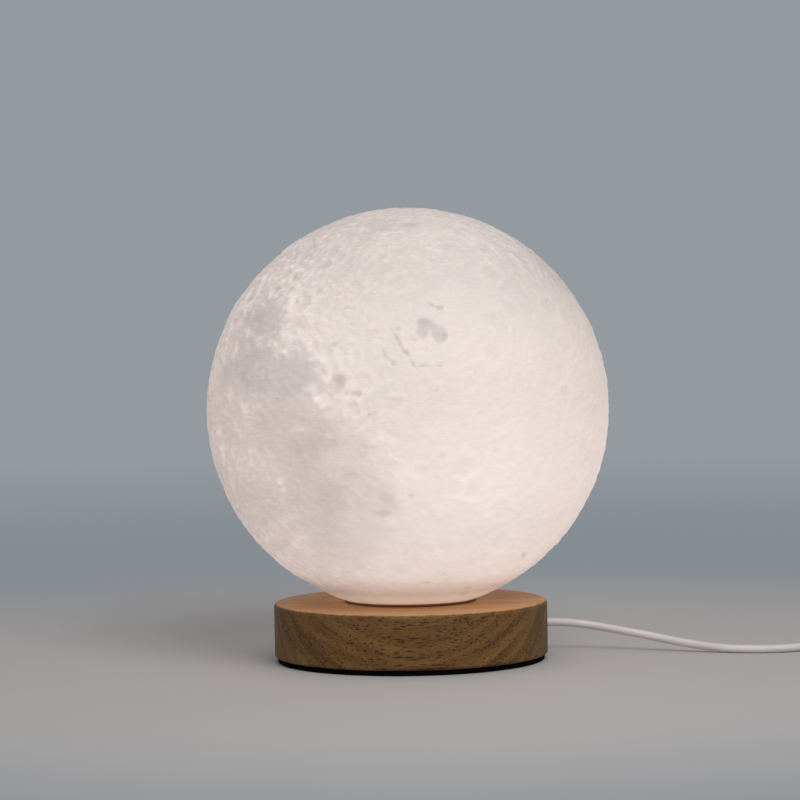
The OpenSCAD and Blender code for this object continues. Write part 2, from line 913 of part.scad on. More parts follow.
module button_spring() {
    spring_sides = 6;
    steps = 12;
    low = block_top_z + spring_wire_d / 2 + face_gap;
    high = button_pocket_top_z - spring_wire_d / 2 - face_gap;
    coil_of_spring = [
        for (i = [0 : spring_turns * steps])
            [
                spring_d / 2 * cos(360 * i / steps),
                spring_d / 2 * sin(360 * i / steps),
                low + (high - low) * i / (spring_turns * steps)
            ]
    ];
    color(steel_grey)
        at_switch()
            tube(coil_of_spring, spring_wire_d, spring_sides);
}

module switch_screws() {
    color(steel_grey)
        at_switch()
            for (x = [-post_x, post_x])
                translate([x, 0, head_sink + head_h])
                    screw(small_screw_d, small_head_d, switch_pilot_z - tip_gap - head_sink - head_h);
}

// The USB plug

// Puts x = 0 at the back of the sleeve and points +X at the plug's tip
module at_plug() {
    translate([plug_back[0], plug_back[1], plug_axis_z])
        rotate([0, 0, 180])
            children();
}

module plug_sleeve() {
    grooves = 3;
    groove_w = 0.9;
    core_d = sleeve_small_d - 0.6;
    color(cord_white)
        at_plug()
            rotate([0, 90, 0])
                difference() {
                    cylinder(h = sleeve_l, d1 = sleeve_small_d, d2 = sleeve_big_d);
                    for (i = [1 : grooves])
                        translate([0, 0, i * sleeve_l / (grooves + 1) - groove_w / 2])
                            difference() {
                                cylinder(h = groove_w, d = sleeve_big_d + 1);
                                cylinder(h = groove_w, d = core_d);
                            }
                }
}

module plug_grip() {
    color(cord_white)
        at_plug()
            translate([sleeve_l, 0, 0])
                difference() {
                    rotate([90, 0, 90])
                        linear_extrude(height = grip_l)
                            round_rect([grip_w, grip_h], grip_corner);
                    translate([grip_l - shell_hold, -shell_w / 2 - face_gap, -shell_h / 2 - face_gap])
                        cube([shell_hold + 1, shell_w + 2 * face_gap, shell_h + 2 * face_gap]);
                }
}

module plug_shell() {
    window = [2.2, 2.4];
    window_place = [shell_hold + 5.2, 2.9];
    color(steel_grey)
        at_plug()
            translate([sleeve_l + grip_l - shell_hold + face_gap, 0, 0])
                difference() {
                    translate([0, -shell_w / 2, -shell_h / 2])
                        cube([shell_hold + shell_l - face_gap, shell_w, shell_h]);
                    translate([-1, -shell_bore[0] / 2, -shell_bore[1] / 2])
                        cube([shell_hold + shell_l + 2, shell_bore[0], shell_bore[1]]);
                    for (y = [-1, 1])
                        translate([window_place[0], y * window_place[1] - window[1] / 2, -shell_h])
                            cube([window[0], window[1], 2 * shell_h]);
                }
}

module plug_insulator() {
    tip_setback = 0.6;
    color([0.92, 0.92, 0.90])
        at_plug()
            translate([sleeve_l + grip_l - shell_hold + face_gap, 0, 0])
                translate([0, -shell_bore[0] / 2 + face_gap, -shell_bore[1] / 2 + face_gap])
                    cube([shell_hold + shell_l - tip_setback, shell_bore[0] - 2 * face_gap, tongue_h]);
}

// The four contacts; the outer two, which carry the power, are longer
module plug_contacts() {
    outer_y = 3.5;
    inner_y = 1;
    contact_w = 1;
    contact_t = 0.2;
    end_gap = 1.5;
    color(gold)
        at_plug()
            for (y = [-outer_y, -inner_y, inner_y, outer_y])
                translate([sleeve_l + grip_l, y - contact_w / 2, -shell_bore[1] / 2 + face_gap + tongue_h])
                    cube([shell_l - (abs(y) == outer_y ? end_gap : end_gap + 1), contact_w, contact_t]);
}

moon_shell();
seat_ring();
wooden_base();
base_pad();
lamp_cup();
diffuser_lens();
led_board();
leds();
resistors();
solder_joints();
board_screws();
housing_screws();
positive_wire();
negative_wire();
inner_cord();
cord_grommet();
cord_clamp();
clamp_screws();
cord_lead();
cord_link();
cord_coil();
cord_tail();
coil_tie();
switch_lower_shell();
switch_upper_shell();
switch_boots();
switch_board();
switch_block();
switch_wires();
switch_button();
button_spring();
switch_screws();
plug_sleeve();
plug_grip();
plug_shell();
plug_insulator();
plug_contacts();
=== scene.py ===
import json
import math

import bpy
import numpy as np
from mathutils import Matrix, Vector, noise


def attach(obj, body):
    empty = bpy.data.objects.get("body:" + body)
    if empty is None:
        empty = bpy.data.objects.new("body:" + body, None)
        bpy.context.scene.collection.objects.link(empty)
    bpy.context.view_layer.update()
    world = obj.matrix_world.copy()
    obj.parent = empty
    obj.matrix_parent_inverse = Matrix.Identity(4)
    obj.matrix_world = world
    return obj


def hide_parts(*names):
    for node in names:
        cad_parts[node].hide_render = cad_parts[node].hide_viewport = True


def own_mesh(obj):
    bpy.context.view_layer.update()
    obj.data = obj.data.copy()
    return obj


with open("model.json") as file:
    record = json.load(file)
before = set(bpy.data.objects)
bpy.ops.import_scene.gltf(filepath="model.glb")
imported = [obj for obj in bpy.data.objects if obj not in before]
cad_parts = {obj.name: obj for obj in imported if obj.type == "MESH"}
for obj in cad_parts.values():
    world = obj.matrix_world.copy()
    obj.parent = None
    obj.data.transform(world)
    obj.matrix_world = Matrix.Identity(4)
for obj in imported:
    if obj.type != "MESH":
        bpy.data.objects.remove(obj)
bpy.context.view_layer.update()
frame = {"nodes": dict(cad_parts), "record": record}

MM = 0.001

# ---- camera

CAMERA_AT = (-0.002, -1.1, 0.138)
CAMERA_YAW = -0.00075
CAMERA_DOWN = 0.03727
CAMERA_ROLL = -0.0153
CAMERA_LENS_MM = 132.856
SENSOR_MM = 36.0
PICTURE_PX = 800
CAMERA_SEES_M = (0.05, 50)


def new_object(name, data):
    made = bpy.data.objects.new(name, data)
    bpy.context.scene.collection.objects.link(made)
    return made


def camera_axes():
    yaw, down, roll = CAMERA_YAW, CAMERA_DOWN, CAMERA_ROLL
    ahead = Vector((
        math.sin(yaw) * math.cos(down), math.cos(yaw) * math.cos(down), -math.sin(down)))
    level = Vector((math.cos(yaw), -math.sin(yaw), 0))
    over = level.cross(ahead)
    right = level * math.cos(roll) + over * math.sin(roll)
    up = over * math.cos(roll) - level * math.sin(roll)
    return right, up, ahead


def picture_place(points):
    """Where points, in metres, show in the 800 by 800 picture."""
    right, up, ahead = (np.array(axis) for axis in camera_axes())
    away = points - np.array(CAMERA_AT)
    scale = CAMERA_LENS_MM / SENSOR_MM * PICTURE_PX / (away @ ahead)
    return PICTURE_PX / 2 + scale * (away @ right), PICTURE_PX / 2 - scale * (away @ up)


def add_camera():
    right, up, ahead = camera_axes()
    data = bpy.data.cameras.new("camera")
    data.lens = CAMERA_LENS_MM
    data.sensor_width = SENSOR_MM
    data.clip_start, data.clip_end = CAMERA_SEES_M
    camera = new_object("camera", data)
    turn = Matrix((right, up, -ahead)).transposed().to_4x4()
    camera.matrix_world = Matrix.Translation(CAMERA_AT) @ turn
    bpy.context.scene.camera = camera


add_camera()

# ---- meshes


def smooth_step(low, high, x):
    t = np.clip((x - low) / (high - low), 0, 1)
    return t * t * (3 - 2 * t)


own_pieces = []  # each piece that is made here, with its material slot


def add_piece(name, shape, body, slot, *nodes, sharp_degrees=40):
    """A mesh that rides on a body and stands for CAD nodes. Its material comes further down."""
    vertices, faces = shape
    mesh = bpy.data.meshes.new(name)
    mesh.from_pydata([tuple(v) for v in vertices], [], faces)
    mesh.update()
    mesh.shade_smooth()
    mesh.set_sharp_from_angle(angle=math.radians(sharp_degrees))
    piece = new_object(name, mesh)
    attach(piece, body)
    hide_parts(*nodes)
    own_pieces.append((piece, slot))
    return piece


def between_rings(lower, lower_count, upper, upper_count):
    """Triangles between two rings that may hold different numbers of points."""
    faces, i, j = [], 0, 0
    while i < lower_count or j < upper_count:
        here, there = lower + i % lower_count, upper + j % upper_count
        if j == upper_count or (i < lower_count and (i + 1) * upper_count <= (j + 1) * lower_count):
            faces.append((here, there, lower + (i + 1) % lower_count))
            i += 1
        else:
            faces.append((here, there, upper + (j + 1) % upper_count))
            j += 1
    return faces


def skin(sections, closed=False):
    """Vertices and faces, facing outwards, through sections of the same number of points."""
    count = len(sections[0])
    vertices = [Vector(p) for section in sections for p in section]
    total = len(vertices)
    faces = []
    for n in range(len(sections) if closed else len(sections) - 1):
        a, b = n * count, (n + 1) * count % total
        faces += [(a + k, a + (k + 1) % count, b + (k + 1) % count, b + k) for k in range(count)]
    if not closed:
        faces += [tuple(range(count))[::-1], tuple(range(total - count, total))]
    volume = sum(
        vertices[f[0]].dot(vertices[f[k]].cross(vertices[f[k + 1]]))
        for f in faces for k in range(1, len(f) - 1))
    return vertices, faces if volume > 0 else [f[::-1] for f in faces]


def joined(*parts):
    """Several skins as one list of vertices and one of faces."""
    vertices, faces = [], []
    for more, their_faces in parts:
        faces += [tuple(len(vertices) + i for i in f) for f in their_faces]
        vertices += more
    return vertices, faces


def circle(centre, r, side, over, steps):
    angles = [2 * math.pi * k / steps for k in range(steps)]
    return [centre + (side * math.cos(a) + over * math.sin(a)) * r for a in angles]


def tube(line, r, steps=18):
    """A round tube whose ring centres are the points of the line."""
    last = len(line) - 1
    over = Vector((0, 0, 1))
    sections = []
    for n, place in enumerate(line):
        way = (line[min(n + 1, last)] - line[max(n - 1, 0)]).normalized()
        over = (over - way * over.dot(way)).normalized()
        sections.append(circle(place, r, way.cross(over), over, steps))
    return skin(sections)


def spindle(start, way, profile, steps=48, closed=False):
    """A lathe form about any line. The profile's points are (distance along it, radius)."""
    start, way = Vector(start), Vector(way).normalized()
    over = Vector((0, 0, 1))
    side = way.cross(over)
    return skin([circle(start + way * s, r, side, over, steps) for s, r in profile], closed)


def turned(profile, steps=160, closed=True):
    """A lathe form about Z through (radius, height) points; a radius of 0 is one point."""
    vertices, rings = [], []
    for r, z in profile:
        count = steps if r > 0 else 1
        rings.append((len(vertices), count))
        for n in range(count):
            a = 2 * math.pi * n / count
            vertices.append((r * math.cos(a), r * math.sin(a), z))
    faces = []
    pairs = list(zip(rings, rings[1:]))
    if closed:
        pairs.append((rings[-1], rings[0]))
    for (a, na), (b, nb) in pairs:
        if na == nb:
            faces += [(a + n, a + (n + 1) % na, b + (n + 1) % nb, b + n) for n in range(na)]
        elif na == 1:
            faces += [(a, b + (n + 1) % nb, b + n) for n in range(nb)]
        else:
            faces += [(a + n, a + (n + 1) % na, b) for n in range(na)]
    return vertices, faces


# ---- cords

CORD_D = 0.003

# the same routes as in the CAD source, in metres
LEAD_ROUTE = [
    (0.04905, 0.01785, 0.011), (0.05187, 0.01888, 0.011), (0.06, 0.0205, 0.0105),
    (0.067, 0.0205, 0.0096), (0.074, 0.019, 0.0085), (0.0805, 0.017, 0.0074),
    (0.087, 0.015, 0.0063), (0.093, 0.013, 0.0052), (0.099, 0.011, 0.0041), (0.105, 0.009, 0.0031),
    (0.111, 0.007, 0.0023), (0.118, 0.0045, 0.0017), (0.126, 0.0025, 0.0015),
    (0.134, 0.002, 0.0015), (0.142, 0.0035, 0.0015), (0.149, 0.007, 0.002), (0.155, 0.0104, 0.0037),
    (0.161, 0.012, 0.00575), (0.164, 0.012, 0.00575),
]
LINK_ROUTE = [
    (0.226, 0.012, 0.00575), (0.229, 0.012, 0.00575), (0.234, 0.0095, 0.0049),
    (0.239, 0.0045, 0.0039), (0.2417, -0.0015, 0.003), (0.242, -0.008, 0.0023),
    (0.24192, -0.015, 0.0021),
]
TAIL_ROUTE = [
    (0.2135, -0.04342, 0.0126), (0.207, -0.0435, 0.0108), (0.201, -0.0435, 0.0079),
    (0.1965, -0.0435, 0.0053), (0.193, -0.0435, 0.0038), (0.19, -0.0435, 0.0038),
]
COIL_CENTRE = (0.2195, -0.021)
COIL_TURNS = 11.25
COIL_LAYERS = 4
COIL_OUT, COIL_IN = 0.0224219, 0.0125781
COIL_FLOOR = 0.0021
COIL_STEP = 0.0035
STEPS_A_TURN = 24
RINGS_A_STRETCH = 3  # rings between two points of a route


def coil_point(turn):
    """A point of the coil, which winds inwards and outwards by turns while its layers climb."""
    per_layer = COIL_TURNS / COIL_LAYERS
    layer = min(math.floor(turn / per_layer), COIL_LAYERS - 1)
    part = (turn / per_layer - layer) * (COIL_OUT - COIL_IN)
    r = COIL_OUT - part if layer % 2 == 0 else COIL_IN + part
    climbs = (min(max(2 * (turn - per_layer * n) + 0.5, 0), 1) for n in range(1, COIL_LAYERS))
    angle = 2 * math.pi * turn
    return (
        COIL_CENTRE[0] + r * math.cos(angle),
        COIL_CENTRE[1] - r * math.sin(angle),
        COIL_FLOOR + COIL_STEP * sum(climbs),
    )


def smooth_line(points):
    """A cord's centreline: one smooth curve through the route's points."""
    places = [Vector(p) for p in points]
    line = []
    for n in range(len(places) - 1):
        a, d = places[n], places[n + 1]
        b = a + (d - places[max(n - 1, 0)]) / 6
        c = d - (places[min(n + 2, len(places) - 1)] - a) / 6
        for k in range(RINGS_A_STRETCH):
            t = k / RINGS_A_STRETCH
            place = (
                a * (1 - t) ** 3 + b * (3 * t * (1 - t) ** 2)
                + c * (3 * t * t * (1 - t)) + d * t ** 3)
            place.z = max(place.z, CORD_D / 2)  # never into the floor
            line.append(place)
    return line + [places[-1]]


coil = [coil_point(n / STEPS_A_TURN) for n in range(round(COIL_TURNS * STEPS_A_TURN) + 1)]
lead_line = smooth_line(LEAD_ROUTE)
stored_line = smooth_line(LINK_ROUTE + coil + TAIL_ROUTE)

lead_cord = add_piece("lead_cord", tube(lead_line, CORD_D / 2), "base", "cord_pvc", "cord_lead")
stored_cord = add_piece(
    "stored_cord", tube(stored_line, CORD_D / 2), "base", "cord_pvc",
    "cord_link", "cord_coil", "cord_tail")

# ---- pieces on the cord

SWITCH_Y, SWITCH_AXIS_Z = 0.012, 0.00575
BOOT_NEAR_X, BOOT_FAR_X = 0.172, 0.218
BOOT_LONG, BOOT_WIDE_R, BOOT_THIN_R, BOOT_BORE_R = 0.008, 0.0032, 0.0022, 0.00153
BOOT_SUNK = 0.0006  # how far it goes on inside the switch
BOOT_ROUND, BOOT_EDGE, BOOT_HOLE_LONG = 0.0004, 0.0001, 0.0005
BOOT_GROOVES = (0.002, 0.0038, 0.0056)
BOOT_GROOVE = (0.00055, 0.0004, 0.0003)  # half of its mouth, half of its floor, its depth

TIE_X, TIE_Y, TIE_Z = 0.202, -0.021, 0.00735
TIE_W, TIE_H, TIE_CORNER = 0.01304, 0.0137, 0.0015
RIBBON_GAP, RIBBON_HALF_W, RIBBON_TOP = 0.00002, 0.002, 0.0005
RIBBON_SIDE = [(0.00016, 0.002), (0.00024, 0.0018), (0.00024, 0.0007), (0.00046, 0.0004)]
TWIST_X, TWIST_LONG, TWIST_TURNS, TWIST_STEPS = 0.1952, 0.0089, 3.25, 60
TWIST_R, TWIST_SPREAD, LOOSE_STEPS = 0.00044, 0.0003, 8

GRIP_BACK, GRIP_FRONT, GRIP_Y, GRIP_Z = 0.181, 0.159, -0.0435, 0.0038
GRIP_W, GRIP_H, GRIP_CORNER = 0.0156, 0.0076, 0.0022
GRIP_BACK_ROUND, GRIP_FRONT_ROUND = 0.0009, 0.0006
GRIP_GROOVES = [0.1745 - 0.0019 * n for n in range(5)]
GRIP_GROOVE = (0.00062, 0.00035, 0.00038)
SOCKET_W, SOCKET_H, SOCKET_LONG, SOCKET_CORNER = 0.0121, 0.0046, 0.0059, 0.0001

EXIT_Z, EXIT_TURN = 0.011, math.radians(20)
GROMMET = [  # (distance from the lamp's axis, radius)
    (0.03, 0.00165), (0.03, 0.0028), (0.0507, 0.0028), (0.0507, 0.00385), (0.051, 0.004),
    (0.0516, 0.004), (0.0519, 0.00393), (0.05208, 0.00375), (0.0521, 0.0034), (0.0521, 0.0026),
    (0.05216, 0.0024), (0.0522, 0.0021), (0.05216, 0.0018), (0.052, 0.00165),
]

SPRING_X, SPRING_R, SPRING_WIRE_R = 0.195, 0.0023, 0.00025
SPRING_SEAT, SPRING_LOW, SPRING_RISE = 0.0076, 0.0079, 0.0032
SPRING_TURNS, SPRING_STEPS = 4, 24
CLOSED_TURNS, CLOSED_RISE = 0.75, 0.00053  # at each end, and the rise of a whole closed turn
OPEN_TURNS = SPRING_TURNS - 2 * CLOSED_TURNS
OPEN_RISE = (SPRING_RISE - 2 * CLOSED_TURNS * CLOSED_RISE) / OPEN_TURNS


def rounded_outline(width, height, corner, steps=6):
    """Points round a rectangle with round corners, each with the way out."""
    outline = []
    for k, (sx, sy) in enumerate(((1, 1), (-1, 1), (-1, -1), (1, -1))):
        for n in range(steps + 1):
            a = math.radians(90 * k + 90 * n / steps)
            out = (math.cos(a), math.sin(a))
            x = sx * (width / 2 - corner) + corner * out[0]
            y = sy * (height / 2 - corner) + corner * out[1]
            outline.append(((x, y), out))
    return outline


def groove(middle, mouth, floor, deep):
    """Four points across a groove: (place along the piece, depth)."""
    return [(middle + s, d) for s, d in ((-mouth, 0), (-floor, deep), (floor, deep), (mouth, 0))]


def boot_profile():
    """A tapered sleeve with grooves, a rounded mouth and a short hole for the cord."""
    def radius(s):
        return BOOT_WIDE_R + (BOOT_THIN_R - BOOT_WIDE_R) * s / BOOT_LONG
    profile = [(-BOOT_SUNK, BOOT_WIDE_R), (0, BOOT_WIDE_R)]
    for middle in BOOT_GROOVES:
        profile += [(s, radius(s) - depth) for s, depth in groove(middle, *BOOT_GROOVE)]
    return profile + [
        (BOOT_LONG - BOOT_ROUND, BOOT_THIN_R), (BOOT_LONG - BOOT_EDGE, BOOT_THIN_R - BOOT_EDGE),
        (BOOT_LONG, BOOT_THIN_R - BOOT_ROUND), (BOOT_LONG, BOOT_BORE_R),
        (BOOT_LONG - BOOT_HOLE_LONG, BOOT_BORE_R),
    ]


def add_boot(name, x, way):
    shape = spindle((x, SWITCH_Y, SWITCH_AXIS_Z), (way, 0, 0), boot_profile())
    return add_piece(name, shape, "base", "cord_pvc", "switch_boots", sharp_degrees=35)


def add_tie():
    """A flat ribbon with a wire along its middle, closed by twisting its two ends."""
    ribbon = [(RIBBON_GAP, -RIBBON_HALF_W), (RIBBON_GAP, RIBBON_HALF_W)] + RIBBON_SIDE
    ribbon += [(RIBBON_TOP, 0)] + [(t, -y) for t, y in reversed(RIBBON_SIDE)]
    sections = [
        [(TIE_X + x + out_x * t, TIE_Y + y, TIE_Z + z + out_z * t) for t, y in ribbon]
        for (x, z), (out_x, out_z) in rounded_outline(TIE_W, TIE_H, TIE_CORNER, 8)]
    parts = [skin(sections, closed=True)]
    for phase in (0, math.pi):
        line = []
        for n in range(TWIST_STEPS + 1):
            turn = phase + 2 * math.pi * TWIST_TURNS * n / TWIST_STEPS
            loose = max(n - (TWIST_STEPS - LOOSE_STEPS), 0) / LOOSE_STEPS
            spread = TWIST_R + TWIST_SPREAD * loose
            line.append(Vector((
                TWIST_X - TWIST_LONG * n / TWIST_STEPS,
                TIE_Y + spread * math.cos(turn), TIE_Z + spread * math.sin(turn))))
        parts.append(tube(line, TWIST_R, 10))
    return add_piece(
        "twist_tie", joined(*parts), "base", "tie_plastic", "coil_tie", sharp_degrees=50)


def add_grip():
    """The plug's grip: rounded ends, finger grooves on both sides, and a socket."""
    rows = []  # (place along X, inset from the sides, inset from the top and bottom)
    for n in range(5):
        a = math.radians(90 * n / 4)
        inset = GRIP_BACK_ROUND * (1 - math.sin(a))
        rows.append((GRIP_BACK - GRIP_BACK_ROUND * (1 - math.cos(a)), inset, inset))
    for middle in GRIP_GROOVES:
        rows += [(x, depth, 0) for x, depth in reversed(groove(middle, *GRIP_GROOVE))]
    for n in range(4):
        a = math.radians(90 * n / 3)
        inset = GRIP_FRONT_ROUND * (1 - math.cos(a))
        rows.append((GRIP_FRONT + GRIP_FRONT_ROUND * (1 - math.sin(a)), inset, inset))

    def section(x, width, height, corner):
        outline = rounded_outline(width, height, corner)
        return [(x, GRIP_Y + y, GRIP_Z + z) for (y, z), _ in outline]

    sections = [
        section(x, GRIP_W - 2 * in_y, GRIP_H - 2 * in_z, GRIP_CORNER - (in_y + in_z) / 2)
        for x, in_y, in_z in rows]
    for x in (GRIP_FRONT, GRIP_FRONT + SOCKET_LONG):
        sections.append(section(x, SOCKET_W, SOCKET_H, SOCKET_CORNER))
    return add_piece(
        "plug_moulding", skin(sections), "base", "plug_pvc", "plug_grip", sharp_degrees=35)


def add_grommet():
    """The bush in the wood, with a rounded lip outside."""
    way = (math.cos(EXIT_TURN), math.sin(EXIT_TURN), 0)
    shape = spindle((0, 0, EXIT_Z), way, GROMMET, closed=True)
    add_piece("exit_grommet", shape, "base", "grommet_rubber", "cord_grommet", sharp_degrees=35)


def add_spring():
    """The button's coil spring, with closed ends, on a mesh of its own."""
    line = []
    for n in range(SPRING_TURNS * SPRING_STEPS + 1):
        turn = n / SPRING_STEPS
        opened = min(max(turn - CLOSED_TURNS, 0), OPEN_TURNS)
        rise = CLOSED_RISE * (turn - opened) + OPEN_RISE * opened
        a = 2 * math.pi * turn
        x, y = SPRING_X + SPRING_R * math.cos(a), SWITCH_Y + SPRING_R * math.sin(a)
        line.append(Vector((x, y, SPRING_LOW + rise)))
    spring = add_piece(
        "press_spring", tube(line, SPRING_WIRE_R, 12), "base", "spring_steel", "button_spring")
    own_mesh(spring)
    return spring


near_boot = add_boot("near_boot", BOOT_NEAR_X, -1)
far_boot = add_boot("far_boot", BOOT_FAR_X, 1)
tie, grip = add_tie(), add_grip()
add_grommet()
spring = add_spring()

# ---- the globe

GLOBE_R, GLOBE_Z, GLOBE_INNER_R = 0.075, 0.093711, 0.073
FOOT_Z, FOOT_R, OPENING_R = 0.023, 0.025, 0.022
RIM_R, RIM_TOP, RIM_STEPS, RIM_EDGE = 0.0255, 0.028, 120, 0.0003
FOOT_EDGE, FOOT_EDGE_HIGH, FOOT_LIFT = 0.0004, 0.0009, 0.00004
RING_STEP, AROUND_STEP, INNER_STEP = 0.0008, 0.00098, 0.0045
FRONT_DENSER = 0.35  # how much closer together the points lie at -Y

# Marks on the side that the picture shows, the dark ones by tint. Each is an ellipse: its centre
# and half-widths in pixels, its turn in degrees and its strength.
COOL, WARM, PLAIN = (1.08, 1.0, 0.9), (0.86, 1.0, 1.1), (1.0, 1.0, 1.0)
SEAS = {
    COOL: [
        (268, 317, 17, 21, 20, 0.17), (272, 372, 44, 27, 10, 0.2), (556, 470, 40, 60, 20, 0.02),
        (510, 520, 40, 22, -20, 0.02),
    ],
    PLAIN: [
        (256, 330, 24, 18, -30, 0.05), (240, 350, 18, 40, 25, 0.06), (328, 466, 42, 42, 35, 0.11),
        (376, 492, 16, 36, 15, 0.06),
    ],
    WARM: [
        (288, 430, 42, 32, 0, 0.14), (352, 522, 38, 46, 12, 0.07), (298, 498, 46, 50, 20, 0.06),
        (226, 440, 12, 50, 5, 0.05),
    ],
}
DARK_MARKS = {
    COOL: [
        (423.5, 321.5, 6.6, 4.2, 4, 0.25), (422.8, 329, 6.4, 8.6, 8, 0.19),
        (431, 325, 8, 4.6, 34, 0.19), (439.6, 334, 7.8, 8.6, -14, 0.2),
        (444, 335, 3.4, 5.4, 0, 0.25), (382, 223, 15, 5, -4, 0.08), (326, 264, 6, 3, -30, 0.16),
        (333, 250, 6, 3, -30, 0.09), (385, 500, 9, 5, 30, 0.08), (383, 515, 8, 4, 0, 0.08),
        (556, 278, 7, 3, 40, 0.07), (544, 266, 6, 3, 40, 0.06),
    ],
    PLAIN: [
        (383.4, 354, 1.5, 3.4, -24, 0.16), (387.5, 358.4, 2.6, 1.4, 30, 0.15),
        (393.6, 362.8, 2.4, 2, 20, 0.22), (397.6, 328.4, 3.4, 2, -10, 0.11),
        (379.8, 338.4, 2.6, 1.5, 32, 0.13), (346, 307.2, 3.6, 1.3, 4, 0.12),
        (346, 354.2, 2.6, 1.4, 6, 0.12), (369.6, 414.4, 3.6, 1.9, -28, 0.16),
        (431.5, 303.8, 4.4, 1.5, 20, 0.2), (440, 306.6, 4.6, 1.8, 6, 0.22),
        (337.8, 378.4, 6.8, 3.8, -4, 0.25), (356.6, 393.6, 4.4, 2.8, 6, 0.2),
        (334.8, 343.4, 3.2, 2.2, -24, 0.2), (409, 224, 10, 4, 4, 0.09),
        (396, 337.6, 1.5, 5.4, -36, 0.24), (401, 345, 1.7, 4.6, -24, 0.22),
        (405.6, 352.4, 2.4, 5, -34, 0.25), (413, 364.4, 1.3, 6.2, -44, 0.16),
        (424, 365.8, 5, 1.2, -2, 0.15), (440.2, 365, 3.4, 1.5, -6, 0.18), (436, 391, 2, 2, 0, 0.16),
        (373, 414, 4, 3, 0, 0.07), (411, 497, 3, 3, 0, 0.09), (442, 457, 4, 3, 0, 0.05),
        (426.4, 583.8, 3.6, 1.3, 2, 0.2), (468, 588.6, 3, 1.2, -8, 0.17),
        (463.6, 594.4, 3.8, 1.3, -16, 0.15), (444, 575.2, 2.6, 1.2, 0, 0.13),
        (524, 557, 2, 3.5, 0, 0.18), (320, 291, 5, 2.6, 0, 0.15), (350, 478, 8, 5, 0, 0.06),
        (362, 452, 5, 7, 0, 0.06), (446, 246, 5, 3, 0, 0.07),
    ],
    WARM: [
        (413, 339.2, 4.2, 1.2, 14, 0.1), (425.6, 351.8, 3, 1.6, 0, 0.08),
        (337, 383.2, 8.2, 8.4, 0, 0.2),
    ],
}
# pale marks of the print, and painted highlights: thin lines along the left limb where the relief
# catches light, and small bright spots
PALE_MARKS_AND_PAINTED_HIGHLIGHTS = [
    (329.2, 377, 1.5, 3.4, 14, 0.09), (330, 392.4, 2.6, 1.6, 24, 0.09),
    (357.6, 399, 3.6, 1.5, 0, 0.09), (372, 411.4, 3, 1.3, -20, 0.08),
    (331.4, 340.4, 2.4, 1.5, -24, 0.1), (336.4, 351.2, 2.4, 1.5, 0, 0.09),
    (402.6, 333, 2.6, 3.8, -20, 0.06), (405, 344.8, 1.5, 4.2, -24, 0.07),
    (431.6, 338, 2.4, 4.4, -10, 0.05), (434.8, 394.2, 1.5, 1.2, 0, 0.08),
    (387.6, 379.6, 2.6, 1.2, 10, 0.08), (257, 345, 2.2, 3, 0, 0.16), (268, 345, 3, 1.6, -10, 0.14),
    (247, 332, 2, 4, 0, 0.14), (229, 400, 1.6, 7, 4, 0.12), (243, 410, 1.8, 5, 0, 0.12),
    (232, 452, 1.8, 6, -6, 0.12), (250, 452, 3, 2, 0, 0.1), (300, 429, 10, 1.6, 0, 0.1),
    (310, 359, 4, 2, 0, 0.1), (328, 437, 7, 1.6, 10, 0.1), (361, 429, 4, 2, -20, 0.08),
    (286, 528, 7, 2.4, 38, 0.1), (296, 538, 6, 2.2, 42, 0.1), (308, 550, 8, 2.2, 32, 0.08),
    (272, 524, 5, 2, 30, 0.08), (258, 288, 26, 1.7, 122, 0.18), (225, 346, 20, 1.5, 104, 0.16),
    (213, 378, 20, 1.3, 101, 0.14), (234, 350, 10, 1.6, 108, 0.16), (240, 322, 9, 1.7, 120, 0.16),
    (222, 452, 14, 1.5, 84, 0.14), (231, 482, 12, 1.6, 72, 0.12), (317, 400, 5, 2, 5, 0.16),
    (321, 407, 4.5, 1.8, 0, 0.14), (389, 381, 2.5, 2, 0, 0.08), (263, 336, 9, 2, -20, 0.08),
    (276, 330, 5, 2, -35, 0.08), (257, 344, 3, 4, 0, 0.09), (280, 482, 3.5, 3.5, 0, 0.22),
    (283, 490, 3, 2.5, 0, 0.18), (218, 431, 2.4, 6, 0, 0.18), (244, 424, 6, 14, 10, 0.05),
    (272, 532, 30, 7, -35, 0.05), (296, 546, 26, 6, -40, 0.05), (240, 520, 20, 8, -35, 0.04),
    (316, 400, 8, 4, 0, 0.06), (300, 430, 12, 2, 0, 0.05), (333, 478, 6, 4, 0, 0.05),
    (298, 302, 10, 6, -20, 0.04), (250, 366, 12, 6, -30, 0.04), (340, 436, 20, 3, 0, 0.04),
]
SEA_EDGE, DARK_EDGE, BRIGHT_EDGE = 0.36, 0.34, 0.5  # how soft the ellipses' edges are
FULL_SEA = 0.09  # a sea of this strength or more is as smooth as seas get
FAR_SEA_TONE = 0.09

# the noises' widest bumps, and what stands out from or sinks into the sphere, in metres
COARSE_BUMP, MIDDLE_BUMP, FINE_BUMP, FAR_SEA_BUMP = 0.014, 0.0055, 0.0022, 0.055
COARSE_RELIEF, MIDDLE_RELIEF, FINE_RELIEF = 0.00012, 0.00024, 0.00034
SEA_SINKS, DARK_SINKS, BRIGHT_RISES, FOOT_SINKS = 0.00018, 0.00022, 0.00006, 0.00012
COARSE_TONE, MIDDLE_TONE, FINE_TONE, SEA_TONE, FLECK_TONE = 0.02, 0.034, 0.034, 0.014, 0.07
PLAIN_FOOT = (0.0006, 0.005)  # the relief fades out between these heights over the foot
CRATERS, CRATER_SEED = 900, 20
SMALLEST_CRATER, CRATER_SPREAD = 0.0011, 0.0042
# in crater radii
BOWL_DEEP, RIM_HIGH, RIM_WIDE, PAINTED_GLEAM_WIDE, BOWL_FLOOR, REACH = 0.08, 0.035, 0.28, 0.3, 0.8, 1.8
# painted highlight on the crater rims and painted shade in their bowls, put into the tone
PAINTED_RIM_GLEAM, PAINTED_BOWL_SHADE, SEA_HIDES = 0.045, 0.035, 0.85

